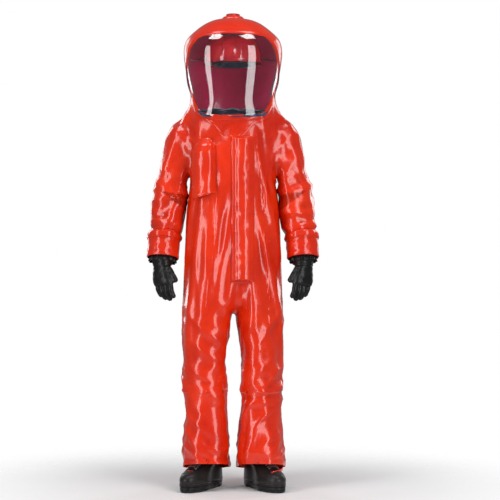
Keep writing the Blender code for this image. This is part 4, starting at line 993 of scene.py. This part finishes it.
# ------------------------------------------------------------------ front flap, chest flap and seams
def front_sheet(node, rows, columns, shape, margin=0.0012, tuck=0.0):
    """A sheet over a CAD flap's front, row by row from its top, with shape(u, v) added in front of it.

    tuck is how far its edges turn down to the suit."""
    source = frame["nodes"][node]
    surface = BVHTree.FromObject(source, bpy.context.evaluated_depsgraph_get())
    low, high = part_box(node)
    lines = []
    for v in np.linspace(0, 1, rows):
        z = high.z - 0.0006 - (high.z - low.z - 0.0012) * v
        hits = [x for x in np.linspace(low.x, high.x, 240)
                if surface.ray_cast(Vector((x, -1, z)), Vector((0, 1, 0)))[0]]
        if not hits:
            continue
        line = []
        for u in np.linspace(0, 1, columns):
            x = min(hits) + (max(hits) - min(hits)) * u
            inner = min(max(x, min(hits) + 0.001), max(hits) - 0.001)
            y = on_front(inner, z, surface).y
            line.append([x, y, z])
        lines.append(line)
    grid = np.array(lines)
    for _ in range(3):
        grid[1:-1, :, 1] = (grid[:-2, :, 1] + 2 * grid[1:-1, :, 1] + grid[2:, :, 1]) / 4
        grid[:, 1:-1, 1] = (grid[:, :-2, 1] + 2 * grid[:, 1:-1, 1] + grid[:, 2:, 1]) / 4
    out = []
    for j, line in enumerate(grid):
        row = []
        for k, (x, y, z) in enumerate(line):
            skin = on_front(x, z).y
            u, v = k / (columns - 1), j / (len(grid) - 1)
            ahead = min(y - margin, skin - margin) - shape(u, v)
            turned = max(smoothstep((abs(2 * u - 1) - 0.86) / 0.14),
                         smoothstep((abs(2 * v - 1) - 0.97) / 0.03))
            ahead += max(skin - 0.0030 - ahead, 0.0) * turned * tuck
            row.append(Vector((x, ahead, z)))
        out.append(row)
    return out


def flat_size(rows):
    """Mean width and length of a sheet's rows, as it was cut."""
    columns = list(zip(*rows))
    return tuple(float(np.mean([sum((b - a).length for a, b in zip(run, run[1:])) for run in way]))
                 for way in (rows, columns))


def stitches(name, path, body, slot="laminate", length=0.0034, gap=0.0016, radius=0.00045):
    """A row of short stitches, each a small rounded bar on the surface."""
    bm = bmesh.new()
    dense = dense_path(path, length + gap)
    for a, b in zip(dense, dense[1:]):
        way = (b - a).normalized()
        ends = (a, a + way * length * 0.25, a + way * length * 0.75, a + way * length)
        add_loft(bm, tube_rings(list(ends), (radius * 0.4, radius, radius, radius * 0.4), 6))
    made = new_object(name, bm)
    made.data.shade_smooth()
    return dress(made, slot, body)


def make_storm_flap():
    def shape(u, v):
        sewn = math.exp(-(((u - 1.0) / 0.16) ** 2))
        pucker = 0.0022 * noise.noise(Vector((u * 3, v * 60, 1))) * sewn
        soft = (0.0024 * noise.noise(Vector((u * 2.2, v * 13, 5)))
                + 0.0012 * noise.noise(Vector((u * 5, v * 30, 9))))
        return 0.0012 + pucker + soft * math.sin(math.pi * min(u + 0.12, 1)) + 0.0008 * sewn

    rows = front_sheet("storm_flap", 190, 40, shape, tuck=0.9)
    flap = sheet_of("storm_flap_fabric", rows, 0.0014, outward=forward)
    dress(flap, "laminate", "front_flap", "storm_flap")
    flat_size(rows)
    for column, name in ((3, "free_edge"), (6, "free_edge_inner")):
        path = [rows[j][column] + Vector((0, -0.0002, 0)) for j in range(2, len(rows) - 2, 6)]
        stitches(f"storm_flap_{name}_stitching", path, "front_flap")
    return rows


def make_chest_flap():
    def shape(u, v):
        fold = (0.0030 * noise.noise(Vector((u * 2.4, v * 4.0, 3)))
                + 0.0012 * noise.noise(Vector((u * 7, v * 9, 8))))
        return fold * v ** 0.5

    rows = front_sheet("chest_flap", 74, 34, shape, margin=0.0)
    flap = sheet_of("chest_flap_fabric", rows, 0.0014, outward=forward)
    dress(flap, "laminate", "chest_cover", "chest_flap")
    flat_size(rows)
    edge = [rows[j][2] + Vector((0, -0.0003, 0)) for j in range(len(rows) - 4, 4, -5)]
    edge += [rows[3][k] + Vector((0, -0.0003, 0)) for k in range(4, 30, 5)]
    edge += [rows[j][31] + Vector((0, -0.0003, 0)) for j in range(5, len(rows) - 4, 5)]
    stitches("chest_flap_stitching", edge, "chest_cover")


def front_path(*places):
    return dense_path([on_front(x, z) for x, z in places], 0.006)


def level_path(z_of, centre, count=90, reach=0.5):
    """Points round a leg or the collar, found from outside towards a centre."""
    path = []
    for k in range(count):
        angle = math.tau * k / count
        way = Vector((math.cos(angle), math.sin(angle), 0))
        z = z_of(centre + way * 0.1)
        clear = abs(way.x) < 0.2 or way.x * centre.x >= 0
        start = Vector((centre.x, centre.y, z)) + way * (reach if clear else abs(centre.x))
        hit = SURFACE.ray_cast(start, -way, reach)[0]
        path.append(hit or SURFACE.find_nearest(Vector((centre.x, centre.y, z)) + way * 0.09)[0])
    return path


def side_path(sign, places):
    """Points down a flank or leg, found from the side."""
    points = []
    for y, z in places:
        hit = SURFACE.ray_cast(Vector((sign * 1.0, y, z)), Vector((-sign, 0, 0)))[0]
        points.append(hit)
    return dense_path(points, 0.008)


def back_path(*places):
    points = [SURFACE.ray_cast(Vector((x, 1, z)), Vector((0, -1, 0)))[0] for x, z in places]
    return dense_path(points, 0.008)


def make_seams():
    yoke = COLLAR - 0.074
    ribbon("yoke_seam",
           front_path((-0.146, COLLAR + 0.024), (-0.086, COLLAR - 0.022), (-0.034, yoke), (0.0, yoke - 0.003),
                      (0.030, yoke), (0.086, COLLAR - 0.020), (0.148, COLLAR + 0.010)), 0.012, 0.0024)
    ribbon("panel_seam_left",
           front_path((0.096, 1.405), (0.106, 1.30), (0.118, 1.15), (0.126, 1.0), (0.140, 0.82),
                      (0.150, 0.66)),
           0.015, 0.0013, pucker=0.0028, seed=3)
    ribbon("panel_seam_right", front_path((-0.064, 1.372), (-0.070, 1.05), (-0.085, 0.90), (-0.105, 0.70)),
           0.010, 0.0008,
           pucker=0.0008, seed=5)
    ribbon("back_yoke_seam",
           back_path((-0.17, 1.40), (-0.08, 1.375), (0.0, 1.37), (0.08, 1.375), (0.17, 1.40)), 0.016, 0.0012,
           pucker=0.001, seed=7)
    ribbon("back_seam", back_path((0, 1.36), (0, 1.15), (0, 0.95), (0, 0.80)), 0.014, 0.0011, pucker=0.0012,
           seed=9)
    ribbon("hood_back_seam", back_path((0, 1.42), (0, 1.55), (0, 1.70), (0, 1.80)), 0.014, 0.0011)
    for side, sign in SIDES.items():
        leg = Vector((sign * 0.117, 0, 0))
        ribbon(f"{side}_knee_seam", level_path(lambda p: KNEE - 0.004, leg), 0.015, 0.0016, closed=True,
               pucker=0.0022)
        hem = level_path(lambda p: HEM_MIDDLE + 0.012 - HEM_FALL * p.y * 1.2, leg)
        ribbon(f"{side}_hem_band", hem, 0.018, 0.0012, closed=True, thickness=0.0016, pucker=0.0006)
        places = ((0.0, 0.76), (0.0, 0.62), (0.0, 0.48), (0.0, 0.41))
        ribbon(f"{side}_outer_leg_seam", side_path(sign, places), 0.013, 0.0011, pucker=0.001, seed=11)
        places = ((0.0, 0.37), (0.0, 0.28), (0.0, 0.19), (0.0, 0.11))
        ribbon(f"{side}_overflap_seam", side_path(sign, places), 0.013, 0.0011, pucker=0.001, seed=13)


# ------------------------------------------------------------------ cuffs and gloves
def forearm_frame(sign):
    """Where the cuff starts, the way down the forearm, and the frame of the hand at the wrist."""
    flip = Vector((sign, 1, 1))
    start = Vector((WRIST.x - 0.003, -0.004, WRIST.z + 0.055)) * flip
    wrist = WRIST * flip
    way = (wrist - start).normalized()
    depth = (Vector((0, 1, 0)) + way * -way.y).normalized()
    width = depth.cross(-way)
    return start, way, wrist, Matrix((width, depth, -way)).transposed()


def make_cuff(side, sign):
    start, way, wrist, turn = forearm_frame(sign)
    rows, length = [], 0.090
    for v in np.linspace(0.06, 1, 22):
        ring = []
        for k in range(84):
            angle = math.tau * k / 84
            crush = 0.0022 * noise.noise(Vector((math.cos(angle) * 2.6, math.sin(angle) * 2.6, v * 3 + sign)))
            crush += 0.0010 * noise.noise(Vector((math.cos(angle) * 6, math.sin(angle) * 6, v * 9)))
            hem = 0.0012 * (v > 0.80) - 0.003 * max(0.0, v - 0.97) / 0.03
            reach = crush + hem + 0.0015 * math.sin(math.pi * v)
            local = Vector((math.cos(angle) * (0.0630 + reach), math.sin(angle) * (0.0680 + reach), -0.001))
            ring.append(start + turn @ local + way * length * v)
        rows.append(ring)
    cuff = sheet_of(f"{side}_outer_cuff_fabric", rows, 0.0018, wrap_columns=True,
                    outward=away_from(start.lerp(wrist, 0.8)))
    dress(cuff, "laminate", f"{side}_forearm", f"{side}_outer_cuff")
    rows = []
    for v in np.linspace(0, 1, 19):
        ring = []
        for k in range(110):
            angle = math.tau * k / 110
            c, s = math.cos(angle), math.sin(angle)
            roll = 0.0075 * math.sin(math.pi * v) ** 0.7
            lump = 0.0038 * noise.noise(Vector((c * 2.4, s * 2.4, v * 1.6 + 3 * sign)))
            waver = 2.0 * noise.noise(Vector((c * 2, s * 2, 7)))
            pleat = 0.0009 * math.sin(13 * angle + waver) * math.sin(math.pi * v)
            reach = roll + lump * math.sin(math.pi * v) + pleat
            slope = 0.004 * noise.noise(Vector((c * 1.3, s * 1.3, 9 + sign)))
            local = Vector((c * (0.0625 + reach), s * (0.0675 + reach), 0))
            ring.append(start + turn @ local + way * (-0.013 + slope + 0.034 * v))
        rows.append(ring)
    band = sheet_of(f"{side}_gathered_band", rows, 0.0015, wrap_columns=True, outward=away_from(start))
    dress(band, "laminate", f"{side}_forearm", f"{side}_cuff_strap")
    rows = []
    for v in np.linspace(0, 1, 22):
        row = []
        for u in np.linspace(-1, 1, 9):
            angle = -math.pi / 2 + sign * (0.55 - 1.05 * v) * 0.95
            lift = 0.0100 + 0.0010 * math.sin(v * math.pi * 3) + 0.001 * v
            local = Vector((math.cos(angle) * (0.0625 + lift), math.sin(angle) * (0.0675 + lift), 0))
            row.append(start + turn @ local + way * (0.004 + u * 0.0095 + 0.004 * v))
        rows.append(row)
    tab = sheet_of(f"{side}_strap_end", rows, 0.0022, outward=away_from(start))
    dress(tab, "laminate", f"{side}_forearm")


def smoothed_form(name, solids, voxel, rounds, wrinkle):
    """Overlapping closed forms joined by a fine voxel remesh, smoothed and wrinkled."""
    bm = bmesh.new()
    for rings in solids:
        part = bmesh.new()
        add_loft(part, rings)
        faced_outward(part)
        mesh = bpy.data.meshes.new("form")
        part.to_mesh(mesh)
        part.free()
        bm.from_mesh(mesh)
    made = new_object(name, bm)
    remesh = made.modifiers.new("join", "REMESH")
    remesh.mode, remesh.voxel_size = "VOXEL", voxel
    applied(made)
    points = smoothed(positions(made.data), edges_of(made.data), rounds)
    set_positions(made.data, points)
    moves = np.array([wrinkle(Vector(p)) for p in points.tolist()])
    set_positions(made.data, points + vertex_normals(made.data) * moves[:, None])
    made.data.shade_smooth()
    return made


GLOVE_ROWS = (  # height in the hand's frame, half width, half depth, middle across the palm
    (0.004, 0.0475, 0.0475, 0.0), (-0.028, 0.0470, 0.0475, 0.0), (-0.046, 0.0410, 0.0440, 0.0),
    (-0.062, 0.0325, 0.0385, 0.0), (-0.078, 0.0290, 0.0385, -0.001), (-0.096, 0.0285, 0.0430, -0.003),
    (-0.116, 0.0270, 0.0460, -0.006), (-0.134, 0.0235, 0.0455, -0.009), (-0.146, 0.0185, 0.0420, -0.010),
)
# Each finger: place across the palm, first lean, bend at each joint, length and radius.
FINGERS = (
    (-0.0435, 0.10, 0.26, 0.064, 0.0122), (-0.0215, 0.16, 0.30, 0.074, 0.0126),
    (0.0010, 0.22, 0.34, 0.070, 0.0122), (0.0225, 0.30, 0.38, 0.056, 0.0110),
)


def finger(root, lean, bend, length, radius, curl_way, spread=0.0):
    """Rings down a relaxed finger with a knuckle at each joint."""
    rings, point, angle = [], Vector(root), lean
    bones = (0.0, 0.44, 0.74, 1.0)
    steps = 15
    for k in range(steps + 1):
        share = k / steps
        angle = lean + bend * sum(smoothstep((share - joint + 0.10) / 0.2) for joint in bones[1:3])
        along = Vector((-curl_way * math.sin(angle), spread, -math.cos(angle))).normalized()
        knuckle = 1 + 0.07 * sum(math.exp(-(((share - joint) / 0.07) ** 2)) for joint in bones[1:3])
        tip = math.sqrt(max(1 - max(0.0, (share - 0.86) / 0.14) ** 2, 0.03))
        size = radius * (1 - 0.16 * share) * knuckle * tip
        rings.append(ring_across(point, along, size, size, 18))
        point = point + along * length / steps
    return rings


HAND_TURN = math.radians(50)  # the back of each hand faces half forwards


def make_glove(side, sign):
    start, way, wrist, turn = forearm_frame(sign)
    hand = turn @ Matrix.Rotation(-sign * HAND_TURN, 3, "Z")
    solids = [[level_ring(z, w, d, y=y, columns=40, power=2.15)
               for z, w, d, y in between_rows(GLOVE_ROWS, 3)]]
    for k, (across, lean, bend, length, radius) in enumerate(FINGERS):
        root = (-0.004 * sign, across, -0.128)
        solids.append(finger(root, lean, bend + 0.12, length + 0.012, radius, sign, 0.05 * (k - 1.6)))
    solids.append(finger((-0.002 * sign, -0.024, -0.070), 0.25, 0.22, 0.082, 0.0148, sign * 0.5, -0.62))

    def wrinkle(p):
        loose = math.exp(-(((p.z + 0.062) / 0.028) ** 2))
        folds = 0.0026 * loose * noise.noise(Vector((p.x * 18, p.y * 18, p.z * 120)))
        palm = 0.0013 * noise.noise(Vector((p.x * 45, p.y * 45, p.z * 70 + sign)))
        return folds + palm + 0.0005 * noise.noise(p * 190)

    glove = smoothed_form(f"{side}_glove_rubber", solids, 0.0021, 5, wrinkle)
    glove.data.transform(Matrix.Translation(wrist) @ hand.to_4x4())
    dress(glove, "rubber", f"{side}_hand", f"{side}_glove")
    rows = []
    for v in np.linspace(0, 1, 14):
        ring = []
        for k in range(150):
            angle = math.tau * k / 150
            c, s = math.cos(angle), math.sin(angle)
            ruffle = math.sin(14 * angle + 2.5 * noise.noise(Vector((c * 2, s * 2, sign)))) * 0.0034 * v**1.4
            reach = 0.0485 + 0.0060 * v + ruffle + 0.001 * noise.noise(Vector((c * 5, s * 5, v * 4)))
            drop = 0.003 * noise.noise(Vector((c * 3, s * 3, 5 + sign))) * v
            ring.append(wrist + turn @ Vector((c * reach, s * reach, -0.004 - 0.046 * v + drop)))
        rows.append(ring)
    ruffle = sheet_of(f"{side}_glove_ruffle", rows, 0.0012, wrap_columns=True, outward=away_from(wrist))
    dress(ruffle, "rubber", f"{side}_hand", f"{side}_glove_band")


# ------------------------------------------------------------------ boots
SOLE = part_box("left_boot_sole")[1].z
ANKLE_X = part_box("left_leg_shell")[1].x / 2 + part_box("left_leg_shell")[0].x / 2
TOE_OUT = math.radians(27)
BOOT_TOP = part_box("left_boot_upper")[1].z
# Height share above the sole, half length, half width and middle along the foot.
BOOT_ROWS = (
    (0.00, 0.1385, 0.0480, -0.035), (0.06, 0.1405, 0.0505, -0.035), (0.16, 0.1405, 0.0500, -0.035),
    (0.27, 0.1345, 0.0482, -0.028), (0.34, 0.1240, 0.0462, -0.018), (0.42, 0.1090, 0.0442, -0.006),
    (0.52, 0.0905, 0.0430, 0.012), (0.62, 0.0750, 0.0410, 0.018), (0.72, 0.0650, 0.0395, 0.021),
    (0.86, 0.0590, 0.0395, 0.023), (1.00, 0.0570, 0.0400, 0.024),
)


def foot_outline(z, half_length, half_width, middle, sign, columns=96, grow=0.0):
    """A shoe's outline: wide and round at the ball and toe, narrower at the heel and waist, fuller inside."""
    ring = []
    for k in range(columns):
        x, y = superellipse(math.tau * k / columns, half_width + grow, half_length + grow, 2.5)
        share = -y / half_length
        waist = 1 - 0.13 * math.exp(-(((share + 0.10) / 0.30) ** 2)) - 0.10 * max(0.0, -share) ** 2
        inner = 0.004 * math.exp(-(((share - 0.45) / 0.3) ** 2))
        ring.append(Vector((sign * (x * waist - inner), y + middle, z)))
    return ring


def instep_at(y):
    """Height of the boot's ridge, y metres along the foot."""
    rows = [(middle - length, SOLE + share * (BOOT_TOP - SOLE))
            for share, length, _, middle in BOOT_ROWS[3:9]]
    return float(np.interp(y, [row[0] for row in rows], [row[1] for row in rows]))


def boot_piece(slot, made, sign, *nodes):
    turn = Matrix.Translation((sign * ANKLE_X, 0, 0)) @ Matrix.Rotation(sign * TOE_OUT, 4, "Z")
    made.data.transform(turn)
    return dress(made, slot, "suit", *nodes)


def make_boot(side, sign):
    rings = []
    for share, length, width, middle in between_rows(BOOT_ROWS, 5):
        rings.append(foot_outline(SOLE + share * (BOOT_TOP - SOLE), length, width, middle, sign))
    upper = sheet_of(f"{side}_boot_leather", rings, 0.0, wrap_columns=True)
    points = positions(upper.data)
    middle = np.array((0, -0.035, 0.06))
    moves = []
    for x, y, z in points.tolist():
        cap = 0.0016 * smoothstep((-0.128 - y) / 0.004)
        flex = 0.0022 * noise.noise(Vector((x * 10, y * 55, z * 30))) * math.exp(-(((y + 0.085) / 0.03) ** 2))
        soft = 0.0014 * noise.noise(Vector((x * 22, y * 22, z * 22 + sign)))
        panel = 0.0012 * smoothstep((abs(x) - 0.024 - 0.25 * (z - SOLE)) / 0.003) * (y > -0.105)
        moves.append(cap + flex + soft + panel)
    away = points - middle
    away[:, 2] *= 0.6
    away /= np.linalg.norm(away, axis=1, keepdims=True)
    set_positions(upper.data, points + away * np.array(moves)[:, None])
    solid = upper.modifiers.new("thickness", "SOLIDIFY")
    faces_out = upper.data.polygons[200].normal.dot(Vector(away[200])) > 0
    solid.thickness = 0.0025
    solid.offset = -1 if faces_out else 1
    applied(upper)
    boot_piece("boot_leather", upper, sign, f"{side}_boot_upper")
    rows = [(0.0, -0.004), (0.003, 0.0), (0.009, 0.0012), (0.0105, -0.0004), (0.012, 0.0016), (0.021, 0.0018),
            (0.0225, 0.0), (0.024, 0.0026), (SOLE - 0.0005, 0.0030), (SOLE + 0.0012, 0.0018)]
    rings = [foot_outline(z, 0.1395, 0.0485, -0.035, sign, grow=grow) for z, grow in rows]
    for ring, (z, _) in zip(rings, rows):
        for k, p in enumerate(ring):
            if z < 0.0095:
                p.x *= 1 - 0.020 * (k % 6 in (0, 1))
                p.y = -0.035 + (p.y + 0.035) * (1 - 0.010 * (k % 6 in (0, 1)))
            if z < 0.02 and abs(p.y - 0.018) < 0.026:
                p.z += 0.010 * (1 - (abs(p.y - 0.018) / 0.026) ** 4) * (1 - z / 0.02)
    sole = closed_form(f"{side}_boot_outsole", rings, 35)
    boot_piece("rubber", sole, sign, f"{side}_boot_sole")
    tongue = []
    for y in np.linspace(-0.124, -0.040, 26):
        z = instep_at(y)
        half = 0.0145 + 0.002 * smoothstep((y + 0.11) / 0.05)
        row = [Vector((u * half, y, z + 0.0022 + 0.0022 * (1 - u * u) + 0.0006 * math.sin(y * 600)))
               for u in np.linspace(-1, 1, 11)]
        tongue.append(row)
    piece = sheet_of(f"{side}_boot_padded_tongue", tongue, 0.0016, outward=lambda p: Vector((0, -0.5, 1)))
    boot_piece("boot_leather", piece, sign, f"{side}_boot_tongue")
    bm = bmesh.new()
    eyelets = bmesh.new()
    for k in range(6):
        y = -0.116 + 0.0135 * k
        nxt = y + 0.0135
        for way in (-1, 1):
            run = []
            for t in np.linspace(-1, 1, 13):
                py = y + (nxt - y) * (t + 1) / 2
                px = way * 0.0185 * t
                run.append(Vector((px, py,
                                   instep_at(py) + 0.0062 + 0.0022 * (1 - t * t)
                                   + 0.0008 * way * (1 - abs(t)))))
            add_loft(bm, tube_rings(run, [0.0017] * len(run), 8))
            hub = Vector((way * 0.0190, y, instep_at(y) + 0.0036))
            circle = [hub + Vector((math.cos(a) * 0.0034, math.sin(a) * 0.0030, math.sin(a) * 0.0016))
                      for a in np.linspace(0, math.tau, 15)]
            add_loft(eyelets, tube_rings(circle, [0.0009] * len(circle), 6))
    laces = new_object(f"{side}_boot_lacing", bm)
    laces.data.shade_smooth()
    boot_piece("boot_lace", laces, sign, f"{side}_boot_laces")
    rim = new_object(f"{side}_boot_eyelets", eyelets)
    rim.data.shade_smooth()
    boot_piece("steel", rim, sign)
    welt = foot_outline(SOLE + 0.0022, 0.1405, 0.0500, -0.035, sign, grow=0.0020)
    bm = bmesh.new()
    for a, b in zip(welt, welt[1:] + [welt[0]]):
        stitch_line = [a.lerp(b, share) for share in (0.15, 0.5, 0.85)]
        add_loft(bm, tube_rings(stitch_line, (0.0004, 0.0008, 0.0004), 5))
    stitch = new_object(f"{side}_welt_stitching", bm)
    stitch.data.shade_smooth()
    boot_piece("boot_lace", stitch, sign)


def make_sock(side, sign):
    """The navy sock boot inside the overflap, gathered above the boot."""
    rows = []
    for v in np.linspace(0, 1, 40):
        z = SOLE + 0.055 + (KNEE - 0.03 - SOLE - 0.055) * v
        size = 0.040 + 0.018 * v
        ring = []
        for k in range(60):
            angle = math.tau * k / 60
            c, s = math.cos(angle), math.sin(angle)
            fold = (0.005 * noise.noise(Vector((c * 1.5, s * 1.5, z * 42 + sign)))
                    + 0.002 * noise.noise(Vector((c * 4, s * 4, z * 90))))
            ring.append(Vector((sign * ANKLE_X + c * (size + fold) - sign * 0.010 * (1 - v),
                                0.030 - 0.022 * v + s * (size + 0.010 + fold), z)))
        rows.append(ring)
    made = sheet_of(f"{side}_sock_fabric", rows, 0.0012, wrap_columns=True,
                    outward=lambda p: p - Vector((sign * ANKLE_X, 0.02, p.z)))
    dress(made, "inner_fabric", "suit", f"{side}_inner_sock")


# ------------------------------------------------------------------ helmet and crown
HELMET_LOW, HELMET_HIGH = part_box("helmet_shell")
HELMET_BASE = HELMET_LOW.z + 0.009
HELMET_HALF_WIDTH = HELMET_HIGH.x - 0.009
HELMET_HALF_LENGTH = HELMET_HIGH.y - 0.009


def make_helmet():
    height = HELMET_HIGH.z - HELMET_BASE
    rings = []
    for share in [1.0] + list(np.sin(np.linspace(math.pi / 2 * 0.985, 0, 34))):
        spread = (1 - min(share, 0.9995) ** 2.3) ** (1 / 2.2)
        ring = level_ring(HELMET_BASE + height * share, HELMET_HALF_WIDTH * spread,
                          HELMET_HALF_LENGTH * spread, columns=120, power=2.1)
        for p in ring:
            ridge = sum(math.exp(-(((p.x - x) / 0.0065) ** 2)) for x in (-0.034, 0.0, 0.034))
            ridge *= smoothstep(share / 0.2) * smoothstep((0.05 - p.y) / 0.12)
            way = Vector((p.x * 0.4, p.y, (p.z - HELMET_BASE) * 1.2)).normalized()
            p += way * 0.0038 * ridge
        rings.append(ring)
    for drop, grow, reach in ((0.001, 0.0, 0.0), (0.003, 0.003, 0.35), (0.004, 0.006, 0.7),
                              (0.004, 0.0085, 1.0), (0.0065, 0.0090, 1.0)):
        ring = level_ring(HELMET_BASE - drop, HELMET_HALF_WIDTH + grow, HELMET_HALF_LENGTH + grow,
                          columns=120, power=2.1)
        for p in ring:
            front = max(0.0, -p.y / HELMET_HALF_LENGTH) ** 2.5
            p.y -= 0.034 * reach * front
            p.z -= 0.007 * reach * front
        rings.append(ring)
    made = sheet_of("helmet_dome", rings, 0.0025, wrap_columns=True,
                    outward=away_from(Vector((0, 0, HELMET_BASE - 0.02))))
    dress(made, "helmet_red", "suit", "helmet_shell")


def make_crown_cap():
    """A low gathered fabric cap round the crown valve."""
    low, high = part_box("crown_valve_cap")
    inner = (high.x - low.x) / 2 + 0.003
    rows = []
    for share in np.linspace(0, 1, 14):
        reach = inner + (0.046 - inner) * share
        ring = []
        for k in range(96):
            angle = math.tau * k / 96
            c, s = math.cos(angle), math.sin(angle)
            spread = reach * (1 + 0.06 * share * noise.noise(Vector((c * 1.8, s * 1.8, 2))))
            x, y = c * spread, s * spread
            skin = SURFACE.ray_cast(Vector((x, y, 3)), Vector((0, 0, -1)))[0].z
            puff = (0.009 * (1 - share**3)
                    + 0.0030 * noise.noise(Vector((c * 2.6, s * 2.6, share * 2))) * (1 - share))
            ring.append(Vector((x, y, min(skin + puff, high.z - 0.003))))
        rows.append(ring)
    cap = sheet_of("crown_cap_fabric", rows, 0.0012, wrap_columns=True, outward=lambda p: Vector((0, 0, 1)))
    dress(cap, "laminate", "suit")


def inside_strap(name, places, width):
    """A navy strap lying on the hood's inner face through angles round it and heights."""
    rows = []
    for angle, z in between_rows(places, 14):
        way = Vector((math.sin(math.radians(angle)), -math.cos(math.radians(angle)), 0))
        hit = SURFACE.ray_cast(Vector((0, 0, z)), way)[0]
        across = Vector((way.y, -way.x, 0))
        drop = 0.0015 * noise.noise(Vector((angle * 0.1, z * 30, 1)))
        rows.append([hit - way * (0.009 + drop) + across * width * u for u in (-0.5, -0.25, 0, 0.25, 0.5)])
    made = sheet_of(name, rows, 0.0016, outward=lambda p: Vector((-p.x, -p.y, 0)))
    dress(made, "webbing", "suit")


make_lining()
inside_strap("left_inner_strap", ((64, 1.475), (68, 1.56), (72, 1.66), (74, 1.75), (70, 1.80)), 0.022)
inside_strap("right_inner_strap", ((-96, 1.475), (-98, 1.56), (-98, 1.66), (-96, 1.75), (-92, 1.80)), 0.022)
make_crown_cap()
bpy.data.objects.remove(coverall)
make_visor()
make_neck_cape()
make_storm_flap()
make_chest_flap()
make_seams()
for side_name, side_sign in SIDES.items():
    make_cuff(side_name, side_sign)
    make_glove(side_name, side_sign)
    make_boot(side_name, side_sign)
    make_sock(side_name, side_sign)
make_helmet()

for node_name, node in frame["nodes"].items():
    slot = next(row["material_slot"] for row in frame["record"]["subparts"] if row["node"] == node_name)
    node.data.materials.clear()
    node.data.materials.append(PAINTS[slot].material)


# ------------------------------------------------------------------ floor, light and camera
def studio():
    """A pale floor that fades into white, two tall softboxes, two overhead lamps and weaker ones behind."""
    bpy.ops.mesh.primitive_circle_add(vertices=96, radius=2.4, fill_type="NGON",
                                      location=(0, 0, FLOOR - 0.0005))
    floor = bpy.context.object
    floor.name = "studio_floor"
    pale = Paint("pale_floor", (0.93, 0.93, 0.93), 0.55)
    pale.colours(pale.noise(3, 2), (0.92, 0.92, 0.92), (0.95, 0.95, 0.95))
    away = pale.tree.nodes.new("ShaderNodeVectorMath")
    away.operation = "LENGTH"
    pale.link(pale.place, away.inputs[0])
    fade = pale.node("ShaderNodeMapRange")
    for key, value in (("From Min", 0.3), ("From Max", 1.5), ("To Min", 1.0), ("To Max", 0.0)):
        fade.inputs[key].default_value = value
    fade.interpolation_type = "SMOOTHSTEP"
    pale.link(away.outputs["Value"], fade.inputs["Value"])
    pale.link(fade.outputs["Result"], pale.shader.inputs["Alpha"])
    floor.data.materials.append(pale.material)
    world = bpy.data.worlds.new("studio")
    bpy.context.scene.world = world
    world.use_nodes = True
    tree = world.node_tree
    soft, seen = tree.nodes["Background"], tree.nodes.new("ShaderNodeBackground")
    soft.inputs["Color"].default_value = (0.84, 0.85, 0.88, 1)
    soft.inputs["Strength"].default_value = 0.22
    seen.inputs["Color"].default_value = (1, 1, 1, 1)
    path, mix = tree.nodes.new("ShaderNodeLightPath"), tree.nodes.new("ShaderNodeMixShader")
    tree.links.new(path.outputs["Is Camera Ray"], mix.inputs["Fac"])
    tree.links.new(soft.outputs[0], mix.inputs[1])
    tree.links.new(seen.outputs[0], mix.inputs[2])
    tree.links.new(mix.outputs[0], tree.nodes["World Output"].inputs["Surface"])
    # Place, size across and up, and power of each softbox; each faces the suit's chest.
    boxes = (
        ("key", (2.05, -3.0, 1.35), 1.3, 4.6, 108), ("fill", (-2.75, -2.4, 1.35), 1.0, 4.6, 90),
        ("top_left", (-1.0, -0.9, 4.0), 1.0, 0.8, 24), ("top_right", (0.9, -0.9, 4.0), 1.1, 0.8, 26),
        ("back_left", (-2.0, 3.0, 2.0), 1.0, 2.6, 26), ("back_right", (2.2, 2.8, 2.0), 1.0, 2.6, 26),
    )
    for name, place, width, height, power in boxes:
        light = bpy.data.lights.new(name, "AREA")
        light.shape, light.size, light.size_y, light.energy = "RECTANGLE", width, height, power
        lamp = bpy.data.objects.new(name, light)
        bpy.context.scene.collection.objects.link(lamp)
        lamp.location = place
        lamp.rotation_euler = (Vector((0, 0, 1.2)) - Vector(place)).to_track_quat("-Z", "Y").to_euler()
    bpy.context.scene.view_settings.view_transform = "Standard"


def camera():
    """Level with the suit's middle, straight in front and a little to the viewer's right."""
    view = bpy.data.cameras.new("front_view")
    view.lens = 117
    holder = bpy.data.objects.new("front_view", view)
    bpy.context.scene.collection.objects.link(holder)
    holder.location = (0.068, -6.5, 0.95)
    holder.rotation_euler = (math.pi / 2, 0, 0)
    bpy.context.scene.camera = holder


studio()
camera()
